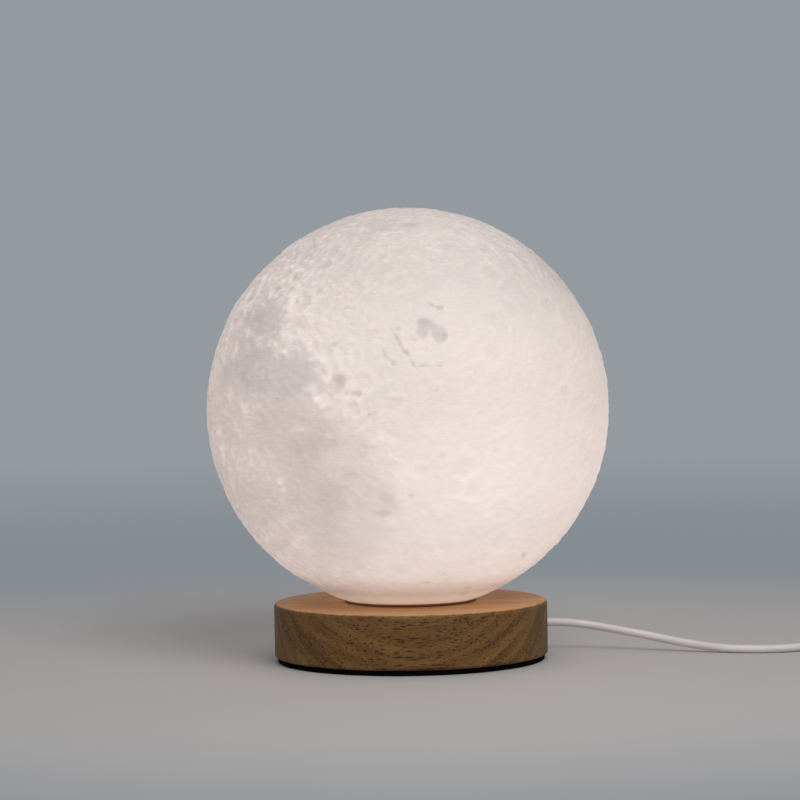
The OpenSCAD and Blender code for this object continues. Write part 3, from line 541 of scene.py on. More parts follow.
# Sums over the globe. Each term is its amount and the smooth steps that it is multiplied with.
# A step is a direction and the two distances along it, in radii, between which it rises.
LEFT, RIGHT, UP, DOWN = (-1, 0, 0), (1, 0, 0), (0, 0, 1), (0, 0, -1)
GLOBE_CENTRE = np.array([0, 0, GLOBE_Z])
TO_CAMERA = np.array(CAMERA_AT) - GLOBE_CENTRE
FRONT = (TO_CAMERA / np.linalg.norm(TO_CAMERA), 0.0, 0.22)  # the side that faces the camera
ROUGH_START, ROUGH_TERMS = 0.85, [
    (-0.4, FRONT),
    (0.9, FRONT, (LEFT, -0.1, 0.75)),
    (0.6, FRONT, (UP, 0.45, 0.85)),
    (0.35, FRONT, (UP, 0.3, 0.6), (LEFT, 0.25, 0.6)),
]
# the lamp shines from below, so the top glows least; the left glows a little less than the right,
# which is painted shade
GLOW_START, GLOW_AND_PAINTED_SHADE_TERMS = 0.92, [
    (-0.55, (UP, 0.15, 1.05)),
    (-0.08, (LEFT, 0.1, 1.0)),
    (0.12, (RIGHT, -0.1, 0.6)),
    (-0.3, (RIGHT, 0.1, 0.8), (UP, 0.1, 0.8)),
    (0.42, (DOWN, -0.1, 0.45)),
    (0.16, (DOWN, 0.4, 0.9)),
    # duller where the wall turns under, bright again near the module, and painted contact shade at
    # the very foot
    (-0.66, (DOWN, 0.77, 0.895)),
    (0.45, (DOWN, 0.875, 0.925)),
    (-0.35, (DOWN, 0.934, 0.943)),
    # a broad, slightly duller band above the middle, and painted shade on the lower left
    (-0.16, (UP, -0.1, 0.22), (DOWN, -0.9, -0.62), (RIGHT, -0.45, -0.1)),
    (-0.22, FRONT, (LEFT, 0.12, 0.42), (DOWN, 0.16, 0.42)),
    (-0.14, FRONT, (LEFT, 0.62, 0.86), (DOWN, 0.16, 0.36)),
]
# the grain of the print shows on the rough left and on the top more than on the right
FAR_GRAIN = 0.7
GRAIN_START, GRAIN_TERMS = 0.42, [
    (0.58, (LEFT, 0.1, 0.75)),
    (0.55, (UP, 0.4, 0.8)),
]
# painted warm light, stronger towards the left and right edges and the lower part, and near the
# foot: what it takes off each colour
PAINTED_SLANT_WARMTH, PAINTED_FOOT_WARMTH = (0.0, 0.022, 0.04), (0.0, 0.075, 0.19)


def globe_skin_points():
    """Rings from the top point down to the foot, with their points closer together at -Y."""
    foot = math.pi - math.asin(FOOT_R / GLOBE_R)
    count = round(foot * GLOBE_R / RING_STEP)
    directions, rings = [np.array([[0.0, 0.0, 1.0]])], [(0, 1)]
    total = 1
    for n in range(1, count + 1):
        polar = foot * n / count
        around = max(6, round(2 * math.pi * GLOBE_R * math.sin(polar) / AROUND_STEP))
        a = 2 * math.pi * (np.arange(around) + 0.5 * (n % 2)) / around
        a -= FRONT_DENSER * np.sin(a + math.pi / 2)
        across, up = math.sin(polar), math.cos(polar)
        ring = [across * np.cos(a), across * np.sin(a), np.full(around, up)]
        directions.append(np.stack(ring, axis=1))
        rings.append((total, around))
        total += around
    return np.concatenate(directions), rings


def layered_noise(points, size_m, octaves, shift=0.0):
    """Fractal noise whose widest bumps measure about size_m on the globe."""
    roughness, each_finer = 0.9, 2.1
    places = points * (GLOBE_R / size_m) + np.array((shift, -shift, shift))
    return np.array([noise.fractal(Vector(p), roughness, each_finer, octaves) for p in places])


def along(points, way, low, high):
    return smooth_step(low, high, points @ np.array(way))


def sum_of(start, terms, points):
    total = np.full(len(points), start)
    for amount, *steps in terms:
        part = np.full(len(points), amount)
        for step in steps:
            part = part * along(points, *step)
        total += part
    return total


def each_mark(by_tint):
    return [(np.array(tint), mark) for tint, marks in by_tint.items() for mark in marks]


def patch(across, down, mark, softness):
    """How far inside one ellipse each point lies, from 0 to 1."""
    cx, cy, rx, ry, turn = mark[:5]
    c, s = math.cos(math.radians(turn)), math.sin(math.radians(turn))
    u = ((across - cx) * c + (down - cy) * s) / rx
    v = (-(across - cx) * s + (down - cy) * c) / ry
    return 1 - smooth_step(1 - softness, 1 + softness, np.hypot(u, v))


def add_craters(points, sea, rough, height, tone):
    """Changes height and tone: each rim gets a painted highlight and each bowl painted shade.
    Craters in a sea or on smooth land are faint.
    """
    draws = np.random.RandomState(CRATER_SEED)
    centres = draws.normal(size=(CRATERS, 3))
    centres /= np.linalg.norm(centres, axis=1)[:, None]
    sizes = SMALLEST_CRATER + CRATER_SPREAD * draws.random_sample(CRATERS) ** 4
    for centre, size in zip(centres, sizes):
        near = np.flatnonzero(points @ centre > math.cos(REACH * size / GLOBE_R))
        d = np.arccos(np.clip(points[near] @ centre, -1, 1)) * GLOBE_R / size
        keep = 1 - SEA_HIDES * sea[near]
        bowl = np.where(d < 1, d * d - 1, 0) * BOWL_DEEP * size
        rim = np.exp(-((d - 1) / RIM_WIDE) ** 2) * RIM_HIGH * size
        height[near] += (bowl + rim) * keep * np.clip(rough[near] - 0.05, 0, 1)
        # a painted highlight on the rim and painted shade in the bowl
        lit = PAINTED_RIM_GLEAM * np.exp(-((d - 1) / PAINTED_GLEAM_WIDE) ** 2) - PAINTED_BOWL_SHADE * (d < BOWL_FLOOR)
        tone[near] *= (1 + keep * rough[near] * lit)[:, None]


def globe_surface(points):
    """For each direction: height in metres over the full radius, tone and glow, both with painted
    light and shade in them, and grain.
    """
    coarse = layered_noise(points, COARSE_BUMP, 4)
    middle = layered_noise(points, MIDDLE_BUMP, 3, 7.3)
    fine = layered_noise(points, FINE_BUMP, 2, 3.1)
    facing = along(points, *FRONT)
    rough = sum_of(ROUGH_START, ROUGH_TERMS, points)

    # places in the picture, shifted by noise so that the ellipses get ragged outlines, in pixels
    across, down = picture_place(GLOBE_CENTRE + GLOBE_R * points)
    mark_across, mark_down = across + 1.4 * fine, down + 1.1 * middle
    sea_across = across + 9 * coarse + 8 * middle + 4 * fine
    sea_down = down + 9 * middle - 6 * coarse - 4 * fine

    tone = np.ones((len(points), 3))
    sea = np.zeros(len(points))
    for tint, mark in each_mark(SEAS):
        w = patch(sea_across, sea_down, mark, SEA_EDGE) * facing
        sea = np.maximum(sea, w * min(mark[5] / FULL_SEA, 1))
        tone *= 1 - w[:, None] * mark[5] * tint
    # the far side has seas of its own, few and faint
    far = layered_noise(points, FAR_SEA_BUMP, 3, 1.7)
    w = smooth_step(0.25, 0.6, far) * (1 - facing)
    sea = np.maximum(sea, w)
    tone *= 1 - w[:, None] * FAR_SEA_TONE * np.array(COOL)

    land = 1 - 0.75 * sea
    height = COARSE_RELIEF * coarse * land + MIDDLE_RELIEF * middle * land * rough
    height += FINE_RELIEF * fine * (1 - 0.6 * sea) * rough - SEA_SINKS * sea
    tone *= (1 + COARSE_TONE * coarse * land + MIDDLE_TONE * middle * land * rough)[:, None]
    tone *= (1 + FINE_TONE * fine * land * rough + SEA_TONE * middle * sea)[:, None]
    # small bright flecks stand on the rough land
    tone *= (1 + FLECK_TONE * smooth_step(0.28, 0.5, fine) * land * (rough - 0.4))[:, None]

    marked, sunk = np.ones((len(points), 3)), np.zeros(len(points))
    for tint, mark in each_mark(DARK_MARKS):
        w = patch(mark_across, mark_down, mark, DARK_EDGE) * facing
        marked = np.minimum(marked, 1 - w[:, None] * mark[5] * tint)
        sunk = np.maximum(sunk, w)
    tone *= marked
    height -= DARK_SINKS * sunk
    # pale marks and painted highlights, which also raise the relief a little
    for mark in PALE_MARKS_AND_PAINTED_HIGHLIGHTS:
        w = patch(mark_across, mark_down, mark, BRIGHT_EDGE) * facing
        tone *= 1 + w[:, None] * mark[5]
        height += BRIGHT_RISES * w
    add_craters(points, sea, rough, height, tone)

    # the highest relief reaches the full radius, and the wall runs out plain at the foot
    height = np.minimum(height - np.percentile(height, 99), 0)
    plain = 1 - smooth_step(*PLAIN_FOOT, GLOBE_Z + GLOBE_R * points[:, 2] - FOOT_Z)
    height = height * (1 - plain) - FOOT_SINKS * plain

    # painted warm light on the tone
    painted_slant = smooth_step(0.55, 1.0, np.hypot(points[:, 0], np.minimum(points[:, 2], 0)))
    tone *= 1 - painted_slant[:, None] * np.array(PAINTED_SLANT_WARMTH)
    tone *= 1 - smooth_step(0.86, 0.94, -points[:, 2])[:, None] * np.array(PAINTED_FOOT_WARMTH)
    # the glow holds painted shade as well as the lamp's own falloff
    glow = sum_of(GLOW_START, GLOW_AND_PAINTED_SHADE_TERMS, points)
    grain = sum_of(GRAIN_START, GRAIN_TERMS, points)
    return height, tone, glow, np.clip(np.where(facing > 0, grain, FAR_GRAIN), 0, 1)


def add_globe():
    points, rings = globe_skin_points()
    height, tone, glow, grain = globe_surface(points)
    outside = points * (GLOBE_R + height)[:, None] + GLOBE_CENTRE
    # soften the edge between the globe and its flat foot
    low = outside[:, 2] < FOOT_Z + FOOT_EDGE_HIGH
    outside[low, 2] = np.maximum(outside[low, 2], FOOT_Z + FOOT_LIFT)
    vertices, faces = [outside], []
    for (a, na), (b, nb) in zip(rings, rings[1:]):
        if na == 1:
            faces += [(a, b + n, b + (n + 1) % nb) for n in range(nb)]
        else:
            faces += between_rings(a, na, b, nb)

    # the flat foot, the opening, the thick rim round it and the inside of the wall
    inner = [
        (FOOT_R - FOOT_EDGE, FOOT_Z), (OPENING_R + RIM_EDGE, FOOT_Z),
        (OPENING_R, FOOT_Z + RIM_EDGE), (OPENING_R, RIM_TOP - RIM_EDGE),
        (OPENING_R + RIM_EDGE, RIM_TOP), (RIM_R - RIM_EDGE, RIM_TOP), (RIM_R, RIM_TOP - RIM_EDGE),
    ]
    rim_rings = len(inner)
    start = math.pi - math.asin(RIM_R / GLOBE_INNER_R)
    steps = round(start * GLOBE_R / INNER_STEP)
    for n in range(steps):
        a = start * (1 - n / steps)
        inner.append((GLOBE_INNER_R * math.sin(a), GLOBE_Z + GLOBE_INNER_R * math.cos(a)))
    below, total = rings[-1], len(outside)
    for n, (r, z) in enumerate(inner):
        around = max(8, round(2 * math.pi * r / INNER_STEP))
        if n < rim_rings or z <= RIM_TOP:
            around = RIM_STEPS
        a = 2 * math.pi * np.arange(around) / around
        vertices.append(np.stack([r * np.cos(a), r * np.sin(a), np.full(around, z)], axis=1))
        faces += between_rings(*below, total, around)
        below = (total, around)
        total += around
    vertices.append(np.array([[0, 0, GLOBE_Z + GLOBE_INNER_R]]))
    faces += [(below[0] + n, total, below[0] + (n + 1) % below[1]) for n in range(below[1])]

    shape = (np.concatenate(vertices), [f[::-1] for f in faces])
    piece = add_piece("moon_globe", shape, "moon", "moon_print", "moon_shell", sharp_degrees=50)
    # the material reads the tone, with the grain as its alpha, and the glow; the inside is plain
    colours = np.ones((total + 1, 4), np.float32)
    colours[:len(points), :3], colours[:len(points), 3] = tone, grain
    layer = piece.data.color_attributes.new("tone", "FLOAT_COLOR", "POINT")
    layer.data.foreach_set("color", colours.ravel())
    glows = np.ones(total + 1, np.float32)
    glows[:len(points)] = glow
    layer = piece.data.attributes.new("glow", "FLOAT", "POINT")
    layer.data.foreach_set("value", glows)


add_globe()

# ---- the pad and the ring

PAD_R, PAD_TOP, PAD_EDGE = 0.0498, 0.002, 0.00035
PAD_RINGS = (0, 0.02, 0.04)  # on its two flat faces
RING_IN, RING_OUT = 0.022, 0.0245
RING_LOW, RING_HIGH, RING_EDGE = 0.022, 0.023, 0.00048


def pad_profile():
    flat, bevel = PAD_R - PAD_EDGE, (PAD_R - 0.0001, PAD_EDGE * 0.4)
    profile = [(r, 0) for r in PAD_RINGS] + [(flat, 0), bevel, (PAD_R, PAD_EDGE)]
    return profile + [(r, PAD_TOP - z) for r, z in reversed(profile)]


def ring_profile():
    """The soft ring's section, with its four edges rounded."""
    corners = (
        (RING_OUT, RING_LOW, 1, -1), (RING_OUT, RING_HIGH, 1, 1),
        (RING_IN, RING_HIGH, -1, 1), (RING_IN, RING_LOW, -1, -1))
    profile = []
    for k, (r, z, out, up) in enumerate(corners):
        for n in range(4):
            a = math.radians(-90 + 90 * k + 30 * n)
            round_r, round_z = RING_EDGE * math.cos(a), RING_EDGE * math.sin(a)
            profile.append((r - out * RING_EDGE + round_r, z - up * RING_EDGE + round_z))
    return profile


add_piece("foam_pad", turned(pad_profile(), closed=False), "base", "pad_foam", "base_pad")
add_piece("seat_cushion", turned(ring_profile()), "seat", "seat_silicone", "seat_ring")

# ---- materials


class Shade:
    """One node material: a Principled shader and short calls that add nodes to it."""

    def __init__(self, name, colour=(0.5, 0.5, 0.5), rough=0.5, **sockets):
        self.material = bpy.data.materials.new(name)
        self.material.use_nodes = True
        self.nodes = self.material.node_tree.nodes
        self.links = self.material.node_tree.links
        self.shader = self.nodes["Principled BSDF"]
        self.set("Base Color", (*colour, 1))
        self.set("Roughness", rough)
        for socket, value in sockets.items():
            self.set(socket.replace("_", " "), value)

    def set(self, socket, value):
        self.join(value, self.shader.inputs[socket])

    def join(self, value, socket):
        if isinstance(value, bpy.types.NodeSocket):
            self.links.new(value, socket)
        else:
            socket.default_value = value

    def add(self, kind, inputs=(), **settings):
        made = self.nodes.new(kind)
        for key, value in settings.items():
            setattr(made, key, value)
        for key, value in dict(inputs).items():
            self.join(value, made.inputs[key])
        return made

    def place(self, size_mm, turn=(0, 0, 0), shift=(0, 0, 0)):
        """The point in the part's own frame, turned, in units of size_mm along each axis."""
        where = self.add("ShaderNodeTexCoord").outputs["Object"]
        made = self.add("ShaderNodeMapping", {
            "Vector": where, "Rotation": turn, "Scale": [MM * s for s in size_mm],
            "Location": shift}, vector_type="TEXTURE")
        return made.outputs["Vector"]

    def noise(self, size_mm, detail, rough, distort=0.0, turn=(0, 0, 0), shift=(0, 0, 0)):
        made = self.add("ShaderNodeTexNoise", {
            "Vector": self.place(size_mm, turn, shift), "Scale": 1.0, "Detail": detail,
            "Roughness": rough, "Distortion": distort})
        return made.outputs["Fac"]

    def cells(self, size_mm, turn=(0, 0, 0), shift=(0, 0, 0)):
        """Distance from the nearest of the scattered points, less a random share for each."""
        made = self.add("ShaderNodeTexVoronoi", {
            "Vector": self.place(size_mm, turn, shift), "Scale": 1.0, "Randomness": 1.0})
        draw = self.add("ShaderNodeSeparateColor", {0: made.outputs["Color"]}).outputs[0]
        return self.math("SUBTRACT", made.outputs["Distance"], self.math("MULTIPLY", draw, 0.16))

    def fit(self, value, low, high, to_low=0.0, to_high=1.0):
        made = self.add("ShaderNodeMapRange", {
            "Value": value, "From Min": low, "From Max": high, "To Min": to_low, "To Max": to_high},
            interpolation_type="SMOOTHSTEP")
        return made.outputs["Result"]

    def math(self, kind, a, b):
        return self.add("ShaderNodeMath", {0: a, 1: b}, operation=kind).outputs[0]

    def mix(self, amount, a, b, kind="MIX"):
        made = self.add("ShaderNodeMix", data_type="RGBA", blend_type=kind)
        for socket, value in ((0, amount), (6, a), (7, b)):
            if isinstance(value, (tuple, list)) and len(value) == 3:
                value = (*value, 1)
            self.join(value, made.inputs[socket])
        return made.outputs[2]

    def bump(self, height, depth_mm, strength):
        made = self.add("ShaderNodeBump", {
            "Height": height, "Distance": depth_mm * MM, "Strength": strength})
        self.set("Normal", made.outputs["Normal"])

    def normal_part(self, axis):
        """How far the surface faces along one axis of the part's own frame."""
        facing = self.add("ShaderNodeTexCoord").outputs["Normal"]
        return self.add("ShaderNodeSeparateXYZ", {0: facing}).outputs[axis]


def tinted(colour, factor):
    return tuple(min(c * factor, 1) for c in colour)


def moon_print():
    s = Shade("moon_print", rough=0.62, IOR=1.46, Sheen_Weight=0.6, Sheen_Roughness=0.3,
              Sheen_Tint=(1.0, 0.9, 0.86, 1), Emission_Strength=1.0)
    mesh_tone = s.add("ShaderNodeAttribute", attribute_name="tone")
    tone, grain = mesh_tone.outputs["Color"], mesh_tone.outputs["Alpha"]
    glow = s.add("ShaderNodeAttribute", attribute_name="glow").outputs["Fac"]
    streaks = s.noise((4.6, 4.6, 0.75), 3, 0.62, 0.4, shift=(0.3, 0.1, 0.7))
    lines = s.noise((3.4, 3.4, 0.36), 2, 0.5, 0.3, shift=(0.1, 0.5, 0.2))
    grit = s.noise((1.3, 1.3, 1.0), 3, 0.62)
    flecks = s.noise((2.6, 2.6, 1.5), 4, 0.66, shift=(0.7, 0.2, 0.1))
    tints = s.noise((9, 9, 6), 3, 0.6, 0.3, shift=(0.2, 0.9, 0.4))
    marks = s.math("ADD", s.math("MULTIPLY", streaks, 0.5), s.math("MULTIPLY", lines, 0.5))
    shade = s.mix(s.fit(marks, 0.36, 0.64), (0.958, 0.953, 0.958), (1.038, 1.038, 1.034))
    for amount, low, high in (
        (s.fit(tints, 0.34, 0.66), (0.982, 0.987, 1.000), (1.014, 1.004, 0.992)),
        (s.fit(grit, 0.3, 0.7), (0.98, 0.98, 0.984), (1.018, 1.018, 1.015)),
        (s.fit(flecks, 0.6, 0.74), (1.0, 1.0, 1.0), (1.045, 1.045, 1.045)),
        (s.fit(flecks, 0.28, 0.4), (0.94, 0.94, 0.95), (1.0, 1.0, 1.0)),
    ):
        shade = s.mix(1.0, shade, s.mix(amount, low, high), "MULTIPLY")
    print_tone = s.mix(grain, tone, shade, "MULTIPLY")
    s.set("Base Color", s.mix(1.0, print_tone, (0.6, 0.545, 0.52), "MULTIPLY"))
    lit = s.mix(1.0, (0.35, 0.301, 0.281), glow, "MULTIPLY")
    s.set("Emission Color", s.mix(1.0, print_tone, lit, "MULTIPLY"))
    relief = s.math("ADD", s.math("MULTIPLY", marks, 1.0), s.math("MULTIPLY", grit, 0.5))
    s.bump(relief, 0.2, 0.7)
    return s.material


def wood():
    s = Shade("wood", rough=0.5, IOR=1.4, Specular_IOR_Level=0.24)
    lean = (math.radians(45), 0, 0)
    # growth rings lie in planes along the grain that rise towards the back, so on the turned side
    # they run level in front and climb towards both ends
    rings = s.noise((70, 28, 3.6), 3, 0.55, 0.5, turn=lean, shift=(0.01, 0.02, 0.003))
    bands = s.noise((90, 30, 1.5), 3, 0.55, 0.4, turn=lean, shift=(0.04, 0.02, 0.01))
    cloud = s.noise((22, 22, 12), 2, 0.5, shift=(0.009, 0.003, 0.005))
    fibre = s.noise((7, 0.42, 0.42), 3, 0.65, turn=lean)
    fuzz = s.noise((1.2, 0.5, 0.5), 2, 0.6)
    # how far the surface faces up, which picks the painted lit copy of the wood
    top = s.fit(s.math("ADD", s.normal_part("Z"), s.math("MULTIPLY", fuzz, 0.5)), 0.92, 1.2)
    # vessels are thin along the grain: dashes in front, dots where the end grain turns out
    dense = s.math("ADD", s.fit(rings, 0.34, 0.62, 0.1, 0.0), s.fit(cloud, 0.35, 0.65, 0.05, 0.0))
    long_pores = s.math("SUBTRACT", s.cells((5.2, 0.78, 0.78), lean, (0.001, 0.002, 0.003)), dense)
    fine_pores = s.math("SUBTRACT", s.cells((2.6, 0.52, 0.52), lean, (0.005, 0.007, 0.001)), dense)
    long_pores = s.fit(long_pores, 0.06, 0.18, 1, 0)
    marks = s.math("MAXIMUM", long_pores, s.fit(fine_pores, 0.06, 0.18, 0.75, 0))
    marks = s.math("MULTIPLY", marks, s.fit(top, 0, 1, 1, 0.1))

    # side and face are a shaded and a lit copy of the wood: the top face is painted lighter and
    # more orange than the side, as light falls on it from above
    side = s.mix(s.fit(rings, 0.3, 0.7), (0.1, 0.045, 0.0135), (0.198, 0.106, 0.031))
    side = s.mix(s.fit(bands, 0.35, 0.72, 0, 0.4), side, (0.22, 0.125, 0.041))
    side = s.mix(s.fit(cloud, 0.45, 0.75, 0, 0.5), side, (0.146, 0.094, 0.04))
    face = s.mix(s.fit(rings, 0.3, 0.7), (0.465, 0.23, 0.09), (0.57, 0.31, 0.13))
    face = s.mix(s.fit(bands, 0.35, 0.7, 0, 0.45), face, (0.6, 0.34, 0.155))
    body = s.mix(top, side, face)
    body = s.mix(s.fit(fibre, 0.3, 0.7, 0, 0.26), body, (0.115, 0.052, 0.02))
    body = s.mix(s.math("MULTIPLY", marks, 0.86), body, (0.04, 0.013, 0.006))
    s.set("Base Color", body)
    s.set("Roughness", s.fit(fibre, 0.2, 0.8, 0.44, 0.6))
    relief = s.math("SUBTRACT", s.math("MULTIPLY", fibre, 0.35), marks)
    s.bump(relief, 0.05, 0.8)
    return s.material


def moulded(name, colour, rough, grain_mm, depth_mm):
    """Plastic with a fine moulded grain, faint cloudiness and a little wear in its gloss."""
    s = Shade(name, colour, rough)
    grain = s.noise((grain_mm,) * 3, 2, 0.5)
    cloud = s.noise((8, 8, 8), 3, 0.6)
    s.set("Base Color", s.mix(s.fit(cloud, 0.3, 0.7), tinted(colour, 0.94), tinted(colour, 1.03)))
    wear = s.math("ADD", s.math("MULTIPLY", grain, 0.4), s.math("MULTIPLY", cloud, 0.6))
    s.set("Roughness", s.fit(wear, 0.3, 0.7, rough - 0.06, rough + 0.08))
    s.bump(grain, depth_mm, 0.7)
    return s.material


def metal(name, colour, rough, stretch, depth_mm=0.006):
    """Metal with drawn or turned streaks and small differences of gloss."""
    s = Shade(name, colour, rough, Metallic=1.0)
    streak = s.noise(stretch, 3, 0.6)
    cloud = s.noise((4, 4, 4), 2, 0.5)
    s.set("Base Color", s.mix(s.fit(cloud, 0.3, 0.7), tinted(colour, 0.9), tinted(colour, 1.04)))
    s.set("Roughness", s.fit(streak, 0.3, 0.7, rough - 0.07, rough + 0.09))
    s.bump(streak, depth_mm, 0.5)
    return s.material


def pad_foam():
    """Closed-cell foam: tiny dimples and a dull, slightly dusty face."""
    colour = (0.0016, 0.0016, 0.0018)
    s = Shade("pad_foam", colour, 0.95, Specular_IOR_Level=0.04)
    cells = s.cells((0.32, 0.32, 0.32))
    dust = s.noise((5, 5, 1.6), 3, 0.6)
    s.set("Base Color", s.mix(s.fit(dust, 0.35, 0.75), colour, tinted(colour, 2.4)))
    s.bump(s.fit(cells, -0.1, 0.5), 0.08, 0.9)
    return s.material


def frosted_lens():
    s = Shade("lens_acrylic", (0.8, 0.77, 0.7), 0.38, IOR=1.49, Transmission_Weight=0.35,
              Emission_Strength=0.25)
    frost = s.noise((0.45, 0.45, 0.45), 2, 0.5)
    glow = s.noise((11, 11, 11), 1, 0.5)
    body = s.mix(s.fit(glow, 0.3, 0.7), (0.76, 0.73, 0.66), (0.84, 0.8, 0.72))
    s.set("Base Color", body)
    s.set("Emission Color", body)
    s.set("Roughness", s.fit(frost, 0.3, 0.7, 0.32, 0.46))
    s.bump(frost, 0.012, 0.6)
    return s.material


def cord_jacket():
    s = Shade("cord_pvc", (0.6, 0.56, 0.58), 0.42, IOR=1.52)
    cloud = s.noise((14, 14, 3.3), 3, 0.55)
    scuff = s.noise((1.7, 1.1, 1.1), 3, 0.6)
    body = s.mix(s.fit(cloud, 0.3, 0.7), (0.585, 0.535, 0.56), (0.66, 0.62, 0.64))
    s.set("Base Color", s.mix(s.fit(scuff, 0.62, 0.8, 0, 0.35), body, (0.5, 0.455, 0.47)))
    s.set("Roughness", s.fit(scuff, 0.3, 0.7, 0.36, 0.52))
    s.bump(scuff, 0.02, 0.5)
    return s.material


MOULDED = {  # colour, roughness, width of the grain in mm, its depth in mm
    # the seat ring's dark warm brown also stands in for the contact shade under the globe's foot:
    # painted shade
    "seat_silicone": ((0.25, 0.1, 0.045), 0.62, 0.5, 0.02),
    "module_plastic": ((0.72, 0.72, 0.7), 0.42, 0.4, 0.012),
    "board_white": ((0.74, 0.75, 0.73), 0.32, 0.6, 0.008),
    "led_phosphor": ((0.8, 0.62, 0.22), 0.25, 0.3, 0.006),
    "chip_black": ((0.02, 0.02, 0.022), 0.42, 0.2, 0.008),
    "wire_red": ((0.45, 0.02, 0.016), 0.36, 0.3, 0.006),
    "wire_black": ((0.018, 0.018, 0.02), 0.36, 0.3, 0.006),
    "grommet_rubber": ((0.56, 0.53, 0.545), 0.62, 0.3, 0.015),
    "clamp_plastic": ((0.03, 0.03, 0.033), 0.5, 0.3, 0.012),
    "tie_plastic": ((0.022, 0.022, 0.024), 0.44, 0.25, 0.015),
    "switch_plastic": ((0.72, 0.71, 0.71), 0.36, 0.45, 0.014),
    "board_green": ((0.012, 0.085, 0.035), 0.3, 0.5, 0.008),
    "block_black": ((0.024, 0.024, 0.026), 0.4, 0.3, 0.01),
    "button_plastic": ((0.62, 0.62, 0.61), 0.34, 0.35, 0.01),
    "plug_pvc": ((0.62, 0.585, 0.6), 0.46, 0.35, 0.02),
    "plug_insulator": ((0.74, 0.74, 0.73), 0.4, 0.3, 0.008),
}
METALS = {  # colour, roughness, size of the streaks in mm and, for a smoother one, their depth
    "solder": ((0.68, 0.69, 0.7), 0.28, (0.5, 0.5, 0.5)),
    "screw_steel": ((0.6, 0.6, 0.62), 0.3, (0.4, 0.4, 2.0)),
    "spring_steel": ((0.56, 0.56, 0.58), 0.26, (1, 1, 0.25)),
    "plug_steel": ((0.74, 0.74, 0.75), 0.24, (6.0, 0.5, 0.5), 0.002),
    "contact_gold": ((0.8, 0.56, 0.2), 0.24, (2.0, 0.33, 0.33)),
}
materials = {
    "moon_print": moon_print(), "wood": wood(), "pad_foam": pad_foam(),
    "lens_acrylic": frosted_lens(), "cord_pvc": cord_jacket(),
}
for name, values in MOULDED.items():
    materials[name] = moulded(name, *values)
for name, values in METALS.items():
    materials[name] = metal(name, *values)

for row in frame["record"]["subparts"]:
    for slot in frame["nodes"][row["node"]].material_slots:
        slot.material = materials[row["material_slot"]]
for piece, slot in own_pieces:
    piece.data.materials.append(materials[slot])

# ---- stage and lights

FLOOR_RINGS = (4.0, 1.6, 0.8, 0.4, 0.2, 0.1, 0.05, 0)
FLOOR_STEPS = 96
NEAR_R, DIP_R, FAR_R = 0.17, 0.42, 1.5  # its own tone ends, the dip is full, the fade ends
FLOOR_COLOUR = (0.44, 0.43, 0.43)
DIP_COLOUR = (0.235, 0.262, 0.29)
BACK_COLOUR = (0.292, 0.325, 0.352)
SKY_COLOUR, SKY_LIGHT = (1.0, 0.985, 0.975), 0.45
SOFTBOXES = [  # name, place, aim, size, power, colour
    ("key", (0.34, -0.9, 0.9), (0.02, 0, 0.07), 0.7, 8.3, (1.0, 0.975, 0.955)),
    ("fill", (-0.95, -0.6, 0.7), (0, 0, 0.07), 0.9, 1.0, (1.0, 0.96, 0.93)),
]


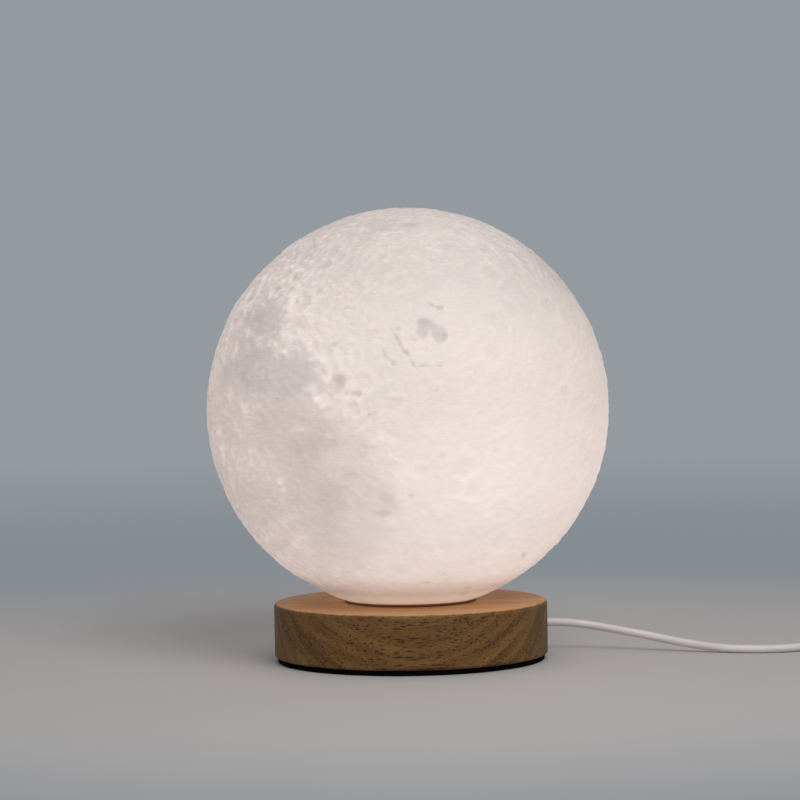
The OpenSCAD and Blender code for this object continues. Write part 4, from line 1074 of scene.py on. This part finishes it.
def add_floor():
    vertices, faces = turned([(r, 0) for r in FLOOR_RINGS], FLOOR_STEPS, closed=False)
    mesh = bpy.data.meshes.new("floor")
    mesh.from_pydata(vertices, [], faces)
    floor = new_object("floor", mesh)

    s = Shade("floor", FLOOR_COLOUR, 0.75)
    grain = s.noise((1.2, 1.2, 1.2), 3, 0.6)
    darker, paler = tinted(FLOOR_COLOUR, 0.99), tinted(FLOOR_COLOUR, 1.01)
    s.set("Base Color", s.mix(s.fit(grain, 0.3, 0.7), darker, paler))
    # far off the floor fades into the plain backdrop tone, which only what is seen directly takes
    where = s.add("ShaderNodeTexCoord").outputs["Object"]
    away = s.add("ShaderNodeVectorMath", {0: where}, operation="LENGTH").outputs["Value"]
    path = s.add("ShaderNodeLightPath")
    seen = s.math("MAXIMUM", path.outputs["Is Camera Ray"], path.outputs["Is Glossy Ray"])
    seen = s.math("MAXIMUM", seen, path.outputs["Is Transmission Ray"])
    plain = s.add("ShaderNodeEmission", {
        "Color": s.mix(s.fit(away, DIP_R, FAR_R), DIP_COLOUR, BACK_COLOUR), "Strength": 1.0})
    both = s.add("ShaderNodeMixShader", {
        0: s.math("MULTIPLY", seen, s.fit(away, NEAR_R, DIP_R)), 1: s.shader.outputs[0],
        2: plain.outputs[0]})
    s.links.new(both.outputs[0], s.nodes["Material Output"].inputs["Surface"])
    mesh.materials.append(s.material)


def add_world():
    world = bpy.data.worlds.new("studio")
    bpy.context.scene.world = world
    world.use_nodes = True
    nodes, links = world.node_tree.nodes, world.node_tree.links
    light = nodes["Background"]
    light.inputs["Color"].default_value = (*SKY_COLOUR, 1)
    light.inputs["Strength"].default_value = SKY_LIGHT
    plain = nodes.new("ShaderNodeBackground")
    plain.inputs["Color"].default_value = (*BACK_COLOUR, 1)
    path = nodes.new("ShaderNodeLightPath")
    seen = path.outputs["Is Camera Ray"]
    for kind in ("Is Glossy Ray", "Is Transmission Ray"):
        largest = nodes.new("ShaderNodeMath")
        largest.operation = "MAXIMUM"
        links.new(seen, largest.inputs[0])
        links.new(path.outputs[kind], largest.inputs[1])
        seen = largest.outputs[0]
    both = nodes.new("ShaderNodeMixShader")
    links.new(seen, both.inputs[0])
    links.new(light.outputs[0], both.inputs[1])
    links.new(plain.outputs[0], both.inputs[2])
    links.new(both.outputs[0], nodes["World Output"].inputs["Surface"])


def add_softbox(name, at, aim, size, power, colour):
    data = bpy.data.lights.new(name, "AREA")
    data.shape = "RECTANGLE"
    data.size = data.size_y = size
    data.energy = power
    data.color = colour
    lamp = new_object(name, data)
    lamp.location = at
    lamp.rotation_mode = "QUATERNION"
    lamp.rotation_quaternion = (Vector(aim) - Vector(at)).to_track_quat("-Z", "Y")


bpy.context.scene.view_settings.view_transform = "Standard"
add_floor()
add_world()
for softbox in SOFTBOXES:
    add_softbox(*softbox)

# ---- last update of the scene

bpy.context.view_layer.update()
